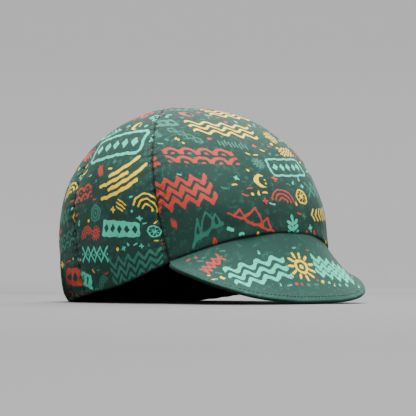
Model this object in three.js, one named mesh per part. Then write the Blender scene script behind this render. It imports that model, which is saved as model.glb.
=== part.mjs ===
// A cycling cap in cotton: six crown panels that meet in one point on top, a short stiff peak that
// hangs steeply, a black sweatband inside the rim and a small red loop sewn into the left rear seam.
// Millimetres. The model is worked out in the cap's own frame and then laid on a table: X to the
// wearer's left, Y to the back, Z up, with the rim near Z = 0 and the seam crossing over X = Y = 0.
// An azimuth is 0 at the front, 90 at the wearer's left and 180 at the back. A rise is a share of the
// way up the crown: 0 at the rim, WAIST_SHARE at the widest height and 1 at the seam crossing.

import * as THREE from "three";

// Crown
const CROWN_FRONT = 104;
const CROWN_REAR = 105;
const CROWN_HALF_WIDTH = 82;
const CROWN_HEIGHT = 132;
const PLAN_POWER = 2.3;
const CLOTH_WALL = 1.5;
const SEAM_GAP = 0.3;
const SEAM_DIP = 0.8;
const SEAM_DIP_WIDTH = 7;
const PANEL_PUFF = 1.1;

// The rim's arch over the forehead, and how far the table presses the rear of the rim up
const RIM_FRONT_RISE = 23;
const REAR_PRESS = 4;

// Gathers that the elastic draws along the rear of the rim
const GATHER_DEPTH = 2.6;
const GATHER_RISE = 40;

// Peak
const PEAK_LENGTH = 55;
const PEAK_CORNER_LENGTH = 3;
const PEAK_THICKNESS = 3;
const PEAK_HOLLOW = 2;
const PEAK_DROP_CENTRE = 66;
const PEAK_DROP_CORNER = 28;

// Sweatband
const BAND_HEIGHT = 32;
const BAND_THICKNESS = 1.4;
const BAND_SET_UP = 1;

// Red loop in the left rear seam
const TAG_HEIGHT = 22;
const TAG_REACH = 11.5;
const TAG_CLOTH = 0.6;
const TAG_SLIT = 0.5;
const TAG_TURN = 24;
const TAG_RISE = 0.385;

// The four meridians that the crown is blended from. Heights are shares of CROWN_HEIGHT, the tuck
// under the rim is a share of CROWN_HALF_WIDTH, and the power rounds the shoulder.
const MERIDIANS = {
  front: { waist: 0.226, power: 1.78, tuck: 0.0 },
  side: { waist: 0.37, power: 2.23, tuck: 0.03 },
  rear: { waist: 0.28, power: 2.09, tuck: 0.095 },
};
const WAIST_SHARE = 0.3;
const TOP_SHARE = 0.99;
const TUCK_POWER = 4;

// Seams, by azimuth at the rim and on top
const SEAMS = [
  { name: "right_front", rim: -50, top: -60 },
  { name: "left_front", rim: 50, top: 60 },
  { name: "left_middle", rim: 113, top: 113 },
  { name: "left_rear", rim: 152, top: 158 },
  { name: "right_rear", rim: 208, top: 202 },
  { name: "right_middle", rim: 247, top: 247 },
  { name: "right_front_again", rim: 310, top: 300 },
];

// Panels, each between seam number "from" and the next, with its columns of faces
const PANELS = [
  { name: "front_panel", from: 0, columns: 14 },
  { name: "left_front_side_panel", from: 1, columns: 11 },
  { name: "left_rear_side_panel", from: 2, columns: 28 },
  { name: "back_panel", from: 3, columns: 36 },
  { name: "right_rear_side_panel", from: 4, columns: 28 },
  { name: "right_front_side_panel", from: 5, columns: 11 },
];
const ROWS_BELOW_WAIST = 4;
const ROWS_ABOVE_WAIST = 9;

// Gathers: place and half width as shares of the rear arc between the two middle seams, depth and
// rise as shares of GATHER_DEPTH and GATHER_RISE
const GATHERS = [
  { at: 0.035, width: 0.028, depth: 0.55, rise: 0.6 },
  { at: 0.083, width: 0.026, depth: 0.8, rise: 0.85 },
  { at: 0.134, width: 0.03, depth: 0.95, rise: 0.95 },
  { at: 0.19, width: 0.028, depth: 0.75, rise: 0.7 },
  { at: 0.245, width: 0.03, depth: 1.0, rise: 1.0 },
  { at: 0.335, width: 0.026, depth: 0.85, rise: 0.75 },
  { at: 0.388, width: 0.03, depth: 1.0, rise: 0.9 },
  { at: 0.44, width: 0.026, depth: 0.7, rise: 0.65 },
  { at: 0.49, width: 0.028, depth: 0.95, rise: 1.0 },
  { at: 0.545, width: 0.03, depth: 0.8, rise: 0.7 },
  { at: 0.6, width: 0.028, depth: 1.0, rise: 0.95 },
  { at: 0.655, width: 0.028, depth: 0.75, rise: 0.8 },
  { at: 0.75, width: 0.03, depth: 1.0, rise: 1.0 },
  { at: 0.806, width: 0.028, depth: 0.8, rise: 0.7 },
  { at: 0.86, width: 0.028, depth: 0.95, rise: 0.9 },
  { at: 0.913, width: 0.026, depth: 0.7, rise: 0.75 },
  { at: 0.962, width: 0.026, depth: 0.5, rise: 0.6 },
];

// Soft dents of the worn cloth: azimuth and half width in degrees, rise and half height as shares of
// the way up, depth as a share of CROWN_HALF_WIDTH. A depth below zero stands out.
const DENTS = [
  { azimuth: 100, width: 16, rise: 0.38, height: 0.22, depth: 0.022 },
  { azimuth: 82, width: 15, rise: 0.2, height: 0.2, depth: -0.012 },
  { azimuth: -96, width: 16, rise: 0.33, height: 0.2, depth: 0.016 },
  { azimuth: -72, width: 14, rise: 0.15, height: 0.18, depth: -0.012 },
  { azimuth: -28, width: 16, rise: 0.55, height: 0.2, depth: 0.012 },
  { azimuth: 24, width: 16, rise: 0.62, height: 0.2, depth: 0.014 },
  { azimuth: 180, width: 20, rise: 0.5, height: 0.2, depth: 0.012 },
];

const PEAK_SPREAD = 50;
const PEAK_TURN = 0.55;
const PEAK_ROUND = 2.5;
const PEAK_FULLNESS = 0.62;
const PEAK_COLUMNS = 30;
const PEAK_ROWS = 6;
const BAND_COLUMNS = 72;
const BAND_ROWS = 3;
const TAG_BEND_STEPS = 6;

const radians = THREE.MathUtils.degToRad;
const mix = THREE.MathUtils.lerp;

// Falls smoothly from 1 at zero to 0 at a distance of 1 and beyond
function bump(distance) {
  const near = Math.max(0, 1 - distance * distance);
  return near * near;
}

// Shortest turn between two azimuths in degrees
function turnBetween(one, other) {
  return Math.abs(THREE.MathUtils.euclideanModulo(one - other + 180, 360) - 180);
}

// How much of the front, side and rear meridian holds at an azimuth, which add up to 1
function shares(azimuth) {
  const ahead = Math.cos(radians(azimuth));
  const front = Math.max(0, ahead) ** 2;
  const rear = Math.max(0, -ahead) ** 2;
  return { front, rear, side: 1 - front - rear };
}

function blended(azimuth, column) {
  const share = shares(azimuth);
  return share.front * MERIDIANS.front[column] + share.side * MERIDIANS.side[column]
    + share.rear * MERIDIANS.rear[column];
}

// Plan radius of the crown at its widest height: a rounded oval, longer to the back than to the side
function planRadius(azimuth) {
  const ahead = Math.cos(radians(azimuth));
  const across = Math.sin(radians(azimuth));
  const length = ahead > 0 ? CROWN_FRONT : CROWN_REAR;
  const sum = Math.abs(ahead / length) ** PLAN_POWER + Math.abs(across / CROWN_HALF_WIDTH) ** PLAN_POWER;
  return sum ** (-1 / PLAN_POWER);
}

function seamAzimuth(seam, rise) {
  return mix(seam.rim, seam.top, rise);
}

// Rim height: level at the sides and rear and arched up over the forehead
function freeRim(azimuth) {
  return RIM_FRONT_RISE * Math.max(0, Math.cos(radians(azimuth))) ** 2;
}

function rimRadius(azimuth) {
  return planRadius(azimuth) - blended(azimuth, "tuck") * CROWN_HALF_WIDTH;
}

// The peak's reach from the rim, across from -1 at its right corner to 1 at its left
function peakReach(across) {
  const full = (1 - Math.abs(across) ** PEAK_ROUND) ** PEAK_FULLNESS;
  return mix(PEAK_CORNER_LENGTH, PEAK_LENGTH, full);
}

// A point of the peak's upper face, from 0 at the rim to 1 at the front edge. The peak leaves the
// rim steeply at its centre and more level at its corners, and is slightly hollow between them.
function peakPoint(across, ahead) {
  const azimuth = across * PEAK_SPREAD;
  const heading = radians(azimuth * PEAK_TURN);
  const drop = radians(mix(PEAK_DROP_CENTRE, PEAK_DROP_CORNER, across ** 2));
  const reach = peakReach(across);
  const root = new THREE.Vector3(
    rimRadius(azimuth) * Math.sin(radians(azimuth)),
    -rimRadius(azimuth) * Math.cos(radians(azimuth)),
    freeRim(azimuth),
  );
  const forward = new THREE.Vector3(
    Math.sin(heading) * Math.cos(drop),
    -Math.cos(heading) * Math.cos(drop),
    -Math.sin(drop),
  );
  const down = new THREE.Vector3(
    -Math.sin(heading) * Math.sin(drop),
    Math.cos(heading) * Math.sin(drop),
    -Math.cos(drop),
  );
  const hollow = PEAK_HOLLOW * reach / PEAK_LENGTH * 4 * ahead * (1 - ahead);
  return root.addScaledVector(forward, SEAM_GAP + reach * ahead).addScaledVector(down, hollow);
}

function peakNormal(across, ahead) {
  const step = 0.01;
  const wide = Math.min(across + step, 1);
  const narrow = Math.max(across - step, -1);
  const far = Math.min(ahead + step, 1);
  const near = Math.max(ahead - step, 0);
  const sideways = peakPoint(wide, ahead).sub(peakPoint(narrow, ahead));
  const back = peakPoint(across, near).sub(peakPoint(across, far));
  return sideways.cross(back).normalize();
}

// The table touches the lower edge of the peak's tip and presses the rear of the rim flat
const tip = peakPoint(0, 1).addScaledVector(peakNormal(0, 1), -PEAK_THICKNESS);
const tableSlope = (REAR_PRESS - tip.z) / (rimRadius(180) - tip.y);

function tableHeight(y) {
  return tip.z + (y - tip.y) * tableSlope;
}

function rimHeight(azimuth) {
  const y = -rimRadius(azimuth) * Math.cos(radians(azimuth));
  return Math.max(freeRim(azimuth), tableHeight(y));
}

// Radius and height of the plain crown: straight down from the waist to the rim with a tuck inwards,
// and a superellipse from the waist up to the seam crossing
function meridian(azimuth, rise) {
  const waist = blended(azimuth, "waist") * CROWN_HEIGHT;
  const radius = planRadius(azimuth);
  if (rise < WAIST_SHARE) {
    const down = (WAIST_SHARE - rise) / WAIST_SHARE;
    const tuck = blended(azimuth, "tuck") * CROWN_HALF_WIDTH * down ** TUCK_POWER;
    return { radius: radius - tuck, height: mix(waist, rimHeight(azimuth), down) };
  }
  const angle = (rise - WAIST_SHARE) / (1 - WAIST_SHARE) * Math.PI / 2;
  const power = 2 / blended(azimuth, "power");
  return {
    radius: radius * Math.cos(angle) ** power,
    height: mix(waist, CROWN_HEIGHT, Math.sin(angle) ** power),
  };
}

// The rise at which the plain crown has a given height
function riseAt(azimuth, height) {
  const waist = blended(azimuth, "waist") * CROWN_HEIGHT;
  const low = rimHeight(azimuth);
  if (height < waist) {
    return WAIST_SHARE * (height - low) / (waist - low);
  }
  const power = 2 / blended(azimuth, "power");
  const angle = Math.asin(((height - waist) / (CROWN_HEIGHT - waist)) ** (1 / power));
  return mix(WAIST_SHARE, 1, angle / (Math.PI / 2));
}

// How far the cloth stands out of the plain crown through its gathers
function gathers(azimuth, height) {
  const left = SEAMS[2].rim;
  const right = SEAMS[5].rim;
  const along = (THREE.MathUtils.euclideanModulo(azimuth, 360) - left) / (right - left);
  let out = 0;
  for (const fold of GATHERS) {
    const fade = Math.max(0, 1 - height / (GATHER_RISE * fold.rise));
    out += GATHER_DEPTH * fold.depth * bump((along - fold.at) / fold.width) * fade ** 1.4;
  }
  return out;
}

// How far it stands out between its seams, and how far it falls in along them
function panelRelief(azimuth, rise, radius) {
  const nearest = Math.min(...SEAMS.map((seam) => turnBetween(azimuth, seamAzimuth(seam, rise))));
  const away = radians(nearest) * radius;
  const puff = PANEL_PUFF * Math.min(1, away / (SEAM_DIP_WIDTH * 3)) * Math.sin(Math.PI * rise);
  return puff - SEAM_DIP * bump(away / SEAM_DIP_WIDTH);
}

function dents(azimuth, rise) {
  let out = 0;
  for (const dent of DENTS) {
    const across = turnBetween(azimuth, dent.azimuth) / dent.width;
    const up = (rise - dent.rise) / dent.height;
    out -= dent.depth * CROWN_HALF_WIDTH * bump(Math.hypot(across, up));
  }
  return out;
}

// A point of the crown: the soft form that everything follows, and the sewn cloth with its seams
// and gathers on top of it
function crownPoint(azimuth, rise, sewn = true) {
  const plain = meridian(azimuth, rise);
  const taper = Math.min(1, plain.radius / CROWN_HALF_WIDTH);
  let radius = plain.radius + dents(azimuth, rise) * taper;
  if (sewn) {
    const height = plain.height - rimHeight(azimuth);
    radius += panelRelief(azimuth, rise, plain.radius) * taper + gathers(azimuth, height);
  }
  return new THREE.Vector3(
    radius * Math.sin(radians(azimuth)),
    -radius * Math.cos(radians(azimuth)),
    plain.height,
  );
}

// The outward normal of the crown, from its slopes around and up
function crownNormal(azimuth, rise, sewn = true) {
  const turn = 0.4;
  const lift = 0.004;
  const high = Math.min(rise + lift, TOP_SHARE);
  const low = Math.max(rise - lift, 0);
  const around = crownPoint(azimuth + turn, rise, sewn).sub(crownPoint(azimuth - turn, rise, sewn));
  const up = crownPoint(azimuth, high, sewn).sub(crownPoint(azimuth, low, sewn));
  return around.cross(up).normalize();
}

// The crown's face set inwards by a depth. On the rim the step is level, so that the rim's edge is
// flat, and where the table presses the rim both of its edges lie in the table's plane.
function insetPoint(azimuth, rise, depth, sewn = true) {
  const point = crownPoint(azimuth, rise, sewn);
  const normal = crownNormal(azimuth, rise, sewn);
  if (rise > 0) {
    return point.addScaledVector(normal, -depth);
  }
  const level = Math.hypot(normal.x, normal.y);
  point.x -= normal.x / level * depth / level;
  point.y -= normal.y / level * depth / level;
  point.z = Math.max(freeRim(azimuth), tableHeight(point.y));
  return point;
}

// A closed body between an outer and an inner grid of points. Rows run upwards and columns run to
// the right as seen from outside. A ring has its last column joined to its first.
function shell(outer, inner, ring = false) {
  const rows = outer.length;
  const columns = outer[0].length;
  const points = [...outer.flat(), ...inner.flat()];
  const half = rows * columns;
  const faces = [];
  const quad = (a, b, c, d) => faces.push(a, b, c, a, c, d);
  const spans = ring ? columns : columns - 1;
  const out = (row, column) => row * columns + column % columns;
  const within = (row, column) => half + out(row, column);
  for (let row = 0; row < rows - 1; row += 1) {
    for (let column = 0; column < spans; column += 1) {
      const next = column + 1;
      quad(out(row, column), out(row, next), out(row + 1, next), out(row + 1, column));
      quad(within(row, next), within(row, column), within(row + 1, column), within(row + 1, next));
    }
  }
  const top = rows - 1;
  for (let column = 0; column < spans; column += 1) {
    const next = column + 1;
    quad(within(0, column), within(0, next), out(0, next), out(0, column));
    quad(out(top, column), out(top, next), within(top, next), within(top, column));
  }
  if (!ring) {
    const last = columns - 1;
    for (let row = 0; row < rows - 1; row += 1) {
      quad(within(row, 0), out(row, 0), out(row + 1, 0), within(row + 1, 0));
      quad(out(row, last), within(row, last), within(row + 1, last), out(row + 1, last));
    }
  }
  const geometry = new THREE.BufferGeometry();
  geometry.setAttribute("position", new THREE.Float32BufferAttribute(points.flatMap((p) => p.toArray()), 3));
  geometry.setIndex(faces);
  geometry.computeVertexNormals();
  return geometry;
}

function grid(rows, columns, pointAt) {
  return Array.from({ length: rows }, (_, row) => (
    Array.from({ length: columns }, (_, column) => pointAt(row, column))
  ));
}

// Shares of the way up at which the panels have a row of points, closer together in the gathers
function panelRises() {
  const rises = [];
  for (let row = 0; row < ROWS_BELOW_WAIST; row += 1) {
    rises.push(WAIST_SHARE * row / ROWS_BELOW_WAIST);
  }
  for (let row = 0; row <= ROWS_ABOVE_WAIST; row += 1) {
    rises.push(mix(WAIST_SHARE, TOP_SHARE, row / ROWS_ABOVE_WAIST));
  }
  return rises;
}

// One crown panel, half a seam gap short of the seam on either side
function panelGeometry(panel) {
  const rises = panelRises();
  const azimuthAt = (row, column) => {
    const rise = rises[row];
    const one = seamAzimuth(SEAMS[panel.from], rise);
    const other = seamAzimuth(SEAMS[panel.from + 1], rise);
    const middle = (one + other) / 2;
    const short = THREE.MathUtils.radToDeg(SEAM_GAP / 2 / meridian(middle, rise).radius);
    return mix(one + short, other - short, column / panel.columns);
  };
  const face = (depth) => grid(rises.length, panel.columns + 1, (row, column) => (
    insetPoint(azimuthAt(row, column), rises[row], depth)
  ));
  return shell(face(0), face(CLOTH_WALL));
}

function peakGeometry() {
  const face = (depth) => grid(PEAK_ROWS + 1, PEAK_COLUMNS + 1, (row, column) => {
    const across = Math.sin((column / PEAK_COLUMNS - 0.5) * Math.PI);
    const ahead = 1 - row / PEAK_ROWS;
    return peakPoint(across, ahead).addScaledVector(peakNormal(across, ahead), -depth);
  });
  return shell(face(0), face(PEAK_THICKNESS));
}

// The sweatband lies inside the crown's cloth and takes no part in its gathers
function bandGeometry() {
  const setIn = CLOTH_WALL + SEAM_GAP + SEAM_DIP;
  const face = (depth) => grid(BAND_ROWS + 1, BAND_COLUMNS, (row, column) => {
    const azimuth = column / BAND_COLUMNS * 360;
    const height = rimHeight(azimuth) + BAND_SET_UP + BAND_HEIGHT * row / BAND_ROWS;
    const rise = riseAt(azimuth, height);
    const point = crownPoint(azimuth, rise, false);
    return point.addScaledVector(crownNormal(azimuth, rise, false), -depth);
  });
  return shell(face(setIn), face(setIn + BAND_THICKNESS), true);
}

// The loop's folded strip seen from above: out along one side, round the bend and back
function tagShape() {
  const outerRadius = TAG_SLIT / 2 + TAG_CLOTH;
  const innerRadius = TAG_SLIT / 2;
  const bendCentre = TAG_REACH - outerRadius;
  const shape = new THREE.Shape();
  shape.moveTo(0, -outerRadius);
  shape.lineTo(bendCentre, -outerRadius);
  shape.absarc(bendCentre, 0, outerRadius, -Math.PI / 2, Math.PI / 2, false);
  shape.lineTo(0, outerRadius);
  shape.lineTo(0, innerRadius);
  shape.lineTo(bendCentre, innerRadius);
  shape.absarc(bendCentre, 0, innerRadius, Math.PI / 2, -Math.PI / 2, true);
  shape.lineTo(0, -innerRadius);
  shape.closePath();
  return shape;
}

// The loop is sewn in along the left rear seam, and turned out of the cloth towards the back
function tagMesh(material) {
  const geometry = new THREE.ExtrudeGeometry(tagShape(), {
    depth: TAG_HEIGHT,
    bevelEnabled: false,
    curveSegments: TAG_BEND_STEPS,
    steps: 1,
  });
  const azimuth = seamAzimuth(SEAMS[3], TAG_RISE);
  const seat = crownPoint(azimuth, TAG_RISE);
  const normal = crownNormal(azimuth, TAG_RISE, false);
  const upwards = crownPoint(azimuth, TAG_RISE + 0.02, false).sub(crownPoint(azimuth, TAG_RISE - 0.02, false));
  const seamwise = upwards.normalize();
  const sideways = new THREE.Vector3().crossVectors(seamwise, normal).normalize();
  const turn = radians(TAG_TURN);
  const outward = sideways.clone().multiplyScalar(Math.cos(turn)).addScaledVector(normal, Math.sin(turn));
  const across = new THREE.Vector3().crossVectors(seamwise, outward);
  const mesh = new THREE.Mesh(geometry, material);
  mesh.name = "tag_loop";
  mesh.quaternion.setFromRotationMatrix(new THREE.Matrix4().makeBasis(outward, across, seamwise));
  mesh.position.copy(seat)
    .addScaledVector(normal, SEAM_GAP + (TAG_SLIT / 2 + TAG_CLOTH) * Math.cos(turn))
    .addScaledVector(seamwise, -TAG_HEIGHT / 2);
  return mesh;
}

const printedCotton = new THREE.MeshStandardMaterial({ color: 0x24493f, roughness: 0.85, metalness: 0 });
const peakCotton = new THREE.MeshStandardMaterial({ color: 0x2b5a4d, roughness: 0.85, metalness: 0 });
const blackTerry = new THREE.MeshStandardMaterial({ color: 0x0c0d0e, roughness: 0.9, metalness: 0 });
const redTape = new THREE.MeshStandardMaterial({ color: 0xb3262c, roughness: 0.7, metalness: 0 });

function namedMesh(name, geometry, material) {
  const mesh = new THREE.Mesh(geometry, material);
  mesh.name = name;
  return mesh;
}

const worn = new THREE.Group();
for (const panel of PANELS) {
  worn.add(namedMesh(panel.name, panelGeometry(panel), printedCotton));
}
worn.add(namedMesh("peak", peakGeometry(), peakCotton));
worn.add(namedMesh("sweatband", bandGeometry(), blackTerry));
worn.add(tagMesh(redTape));

// Laid on the table: the table's slope is turned level, and the origin goes under the middle of the cap
worn.rotation.x = -Math.atan(tableSlope);
const cap = new THREE.Group();
cap.name = "cycling_cap";
cap.add(worn);
cap.updateMatrixWorld(true);
const bounds = new THREE.Box3().setFromObject(cap, true);
const middle = bounds.getCenter(new THREE.Vector3());
worn.position.set(-middle.x, -middle.y, -bounds.min.z);
cap.updateMatrixWorld(true);

export default cap;
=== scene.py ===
# %% [markdown]
# # A printed cotton cycling cap
# The real cap is cut from thin printed cotton: six crown panels that meet in one point, a short stiff
# peak, a black sweatband inside the rim and a small red loop in one rear seam. It lies on a table on
# the rear of its rim and on the tip of its peak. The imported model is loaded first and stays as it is.
# Every piece below takes its place from that frame.

# %% Load the frame
import math

import bpy
import numpy as np
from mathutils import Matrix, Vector


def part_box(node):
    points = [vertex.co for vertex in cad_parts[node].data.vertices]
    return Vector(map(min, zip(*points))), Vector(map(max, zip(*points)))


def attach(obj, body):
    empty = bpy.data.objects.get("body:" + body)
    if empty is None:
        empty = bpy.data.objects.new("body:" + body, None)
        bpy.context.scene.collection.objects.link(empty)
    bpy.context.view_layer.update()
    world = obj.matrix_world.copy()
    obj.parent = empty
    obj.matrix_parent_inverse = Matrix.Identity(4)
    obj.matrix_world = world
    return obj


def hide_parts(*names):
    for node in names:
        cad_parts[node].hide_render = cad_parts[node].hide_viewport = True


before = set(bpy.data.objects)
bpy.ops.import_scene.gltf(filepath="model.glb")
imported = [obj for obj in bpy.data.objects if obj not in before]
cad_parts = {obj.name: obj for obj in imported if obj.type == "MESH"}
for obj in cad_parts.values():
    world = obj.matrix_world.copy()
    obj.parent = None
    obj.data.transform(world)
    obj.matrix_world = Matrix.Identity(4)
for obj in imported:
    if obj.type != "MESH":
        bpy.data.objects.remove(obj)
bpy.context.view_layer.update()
MM = 0.001

# %% [markdown]
# ## The form of the crown
# A crown could be sculpted, but a formula keeps it true to its cut. The widest outline is a rounded
# oval. From there a superellipse runs up to the seam crossing, and a nearly straight wall runs down to
# the rim. Three meridians, for front, side and rear, are blended by the azimuth: 0 at the front, 90 at
# the wearer's left. The rise is 0 at the rim, WAIST at the widest height and 1 on top. All of this is
# in millimetres in the cap's own frame, and is laid on the table afterwards.

# %% Sizes and meridians
CROWN_FRONT = 104.0
CROWN_REAR = 105.0
CROWN_HALF_WIDTH = 82.0
CROWN_HEIGHT = 132.0
PLAN_POWER = 2.3
CLOTH = 1.5
RIM_FRONT_RISE = 23.0
REAR_PRESS = 4.0
WAIST = 0.3
TUCK_POWER = 4
MERIDIANS = {
    "waist": {"front": 0.226, "side": 0.37, "rear": 0.28},
    "power": {"front": 1.78, "side": 2.23, "rear": 2.09},
    "tuck": {"front": 0.0, "side": 0.03, "rear": 0.095},
}


def bump(distance):
    """1 at zero, falling smoothly to 0 at a distance of 1: the square of one minus the square."""
    return np.clip(1 - np.square(distance), 0, None) ** 2


def turn_between(one, other):
    """The shortest turn between two azimuths in degrees."""
    return np.abs((one - other + 180) % 360 - 180)


def blended(azimuth, column):
    """Front, side and rear values of a meridian mixed by the squares of the azimuth's sine and cosine."""
    ahead = np.cos(np.radians(azimuth))
    front = np.clip(ahead, 0, None) ** 2
    rear = np.clip(-ahead, 0, None) ** 2
    values = MERIDIANS[column]
    return front * values["front"] + rear * values["rear"] + (1 - front - rear) * values["side"]


def plan_radius(azimuth):
    """The oval: a superellipse as long as the front or rear reach and as wide as the crown."""
    ahead = np.cos(np.radians(azimuth))
    across = np.sin(np.radians(azimuth))
    length = np.where(ahead > 0, CROWN_FRONT, CROWN_REAR)
    total = np.abs(ahead / length) ** PLAN_POWER + np.abs(across / CROWN_HALF_WIDTH) ** PLAN_POWER
    return total ** (-1 / PLAN_POWER)


def free_rim(azimuth):
    """The rim's height: level behind and arched over the forehead by the square of the cosine."""
    return RIM_FRONT_RISE * np.clip(np.cos(np.radians(azimuth)), 0, None) ** 2


def rim_radius(azimuth):
    """The oval less the tuck under the rim."""
    return plan_radius(azimuth) - blended(azimuth, "tuck") * CROWN_HALF_WIDTH


print("the crown is", CROWN_FRONT + CROWN_REAR, "mm long and", 2 * CROWN_HALF_WIDTH, "mm wide")

# %% [markdown]
# ## The form of the peak, and the table
# The peak is a flat crescent of stiff cloth bent round the forehead. A line leaves each point of the
# rim, steeply at the centre and more level at the corners, and its length draws the crescent. The
# table is the slope from the lower edge of the tip to the rear of the rim.

# %% Peak sizes and the table's slope
SEAM_GAP = 0.3
PEAK_LENGTH = 55.0
PEAK_CORNER_LENGTH = 3.0
PEAK_THICKNESS = 3.0
PEAK_HOLLOW = 2.0
PEAK_DROP_CENTRE = 66.0
PEAK_DROP_CORNER = 28.0
PEAK_SPREAD = 50.0
PEAK_TURN = 0.55
PEAK_ROUND = 2.5
PEAK_FULLNESS = 0.62
PEAK_STEP = 0.01


def peak_reach(across):
    """The crescent: a superellipse from the corner length up to the full length at the centre."""
    full = np.clip(1 - np.abs(across) ** PEAK_ROUND, 0, None) ** PEAK_FULLNESS
    return PEAK_CORNER_LENGTH + (PEAK_LENGTH - PEAK_CORNER_LENGTH) * full


def peak_point(across, ahead):
    """A point of the upper face: out from the rim along the dropping line, sunk a little in its middle."""
    across, ahead = np.broadcast_arrays(np.asarray(across, float), np.asarray(ahead, float))
    azimuth = across * PEAK_SPREAD
    heading = np.radians(azimuth * PEAK_TURN)
    drop = np.radians(PEAK_DROP_CENTRE + (PEAK_DROP_CORNER - PEAK_DROP_CENTRE) * across**2)
    reach = peak_reach(across)
    turn = np.radians(azimuth)
    rim = rim_radius(azimuth)
    root = np.stack([np.sin(turn) * rim, -np.cos(turn) * rim, free_rim(azimuth)], -1)
    level = np.cos(drop)
    forward = np.stack([np.sin(heading) * level, -np.cos(heading) * level, -np.sin(drop)], -1)
    steep = np.sin(drop)
    down = np.stack([-np.sin(heading) * steep, np.cos(heading) * steep, -np.cos(drop)], -1)
    hollow = PEAK_HOLLOW * reach / PEAK_LENGTH * 4 * ahead * (1 - ahead)
    return root + forward * (SEAM_GAP + reach * ahead)[..., None] + down * hollow[..., None]


def unit(vectors):
    """Vectors divided by their length."""
    return vectors / np.maximum(np.linalg.norm(vectors, axis=-1, keepdims=True), 1e-12)


def peak_normal(across, ahead):
    """The upward normal: the slope across, crossed with the slope towards the rim."""
    across, ahead = np.broadcast_arrays(np.asarray(across, float), np.asarray(ahead, float))
    right, left = np.minimum(across + PEAK_STEP, 1), np.maximum(across - PEAK_STEP, -1)
    inner, outer = np.maximum(ahead - PEAK_STEP, 0), np.minimum(ahead + PEAK_STEP, 1)
    wide = peak_point(right, ahead) - peak_point(left, ahead)
    back = peak_point(across, inner) - peak_point(across, outer)
    return unit(np.cross(wide, back))


tip = peak_point(0.0, 1.0) - PEAK_THICKNESS * peak_normal(0.0, 1.0)
table_slope = (REAR_PRESS - tip[2]) / (float(rim_radius(180.0)) - tip[1])
print("the rim plane leans back by", round(math.degrees(math.atan(table_slope)), 2), "degrees")

# %% [markdown]
# ## Laying the cap on the table
# The whole cap is turned until the table is level. How far it is then moved is read off the packed
# peak: the same grid of points is worked out here, and its lowest corner has to meet the peak's box.

# %% From the cap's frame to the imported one
CAD_PEAK_COLUMNS = 30
CAD_PEAK_ROWS = 6


def turned(points):
    """Points turned about X by the table's slope."""
    lean = -math.atan(table_slope)
    x, y, z = points[..., 0], points[..., 1], points[..., 2]
    return np.stack([x, y * math.cos(lean) - z * math.sin(lean), y * math.sin(lean) + z * math.cos(lean)], -1)


cad_across, cad_ahead = np.meshgrid(
    np.sin((np.arange(CAD_PEAK_COLUMNS + 1) / CAD_PEAK_COLUMNS - 0.5) * math.pi),
    np.arange(CAD_PEAK_ROWS + 1) / CAD_PEAK_ROWS,
)
upper = peak_point(cad_across, cad_ahead)
lower = upper - PEAK_THICKNESS * peak_normal(cad_across, cad_ahead)
both = turned(np.concatenate([upper, lower]).reshape(-1, 3))
packed_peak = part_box("peak")
shift = np.array(packed_peak[0]) / MM - both.min(axis=0)
miss = np.abs(np.array(packed_peak[1]) / MM - (both + shift).max(axis=0)).max()


def placed(points):
    """Points of the cap's own frame in millimetres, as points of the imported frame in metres."""
    return (turned(points) + shift) * MM


def table_height(y):
    """The table's height in the cap's own frame."""
    return tip[2] + (y - tip[1]) * table_slope


def rim_height(azimuth):
    """The higher of the free rim and the table, which presses the rim up where it meets it."""
    y = -rim_radius(azimuth) * np.cos(np.radians(azimuth))
    return np.maximum(free_rim(azimuth), table_height(y))


def meridian(azimuth, rise):
    """Radius and height of the plain crown at an azimuth and a rise."""
    waist = blended(azimuth, "waist") * CROWN_HEIGHT
    radius = plan_radius(azimuth)
    down = np.clip((WAIST - rise) / WAIST, 0, 1)
    low_radius = radius - blended(azimuth, "tuck") * CROWN_HALF_WIDTH * down**TUCK_POWER
    low_height = waist + (rim_height(azimuth) - waist) * down
    angle = np.clip((rise - WAIST) / (1 - WAIST), 0, 1) * math.pi / 2
    power = 2 / blended(azimuth, "power")
    high_radius = radius * np.clip(np.cos(angle), 0, None) ** power
    high_height = waist + (CROWN_HEIGHT - waist) * np.sin(angle) ** power
    below = rise < WAIST
    return np.where(below, low_radius, high_radius), np.where(below, low_height, high_height)


print("moved by", shift.round(2), "mm; the packed peak is met to", round(float(miss), 4), "mm")

# %% [markdown]
# ## Seams, gathers and soft dents
# Where two panels are sewn together each edge rolls in, so a seam is a narrow groove with a soft
# pillow on either side and small puckers across it. At the back an elastic draws the rim into upright
# folds. Short tables hold where they are, and one function turns them into a depth in millimetres.

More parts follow.
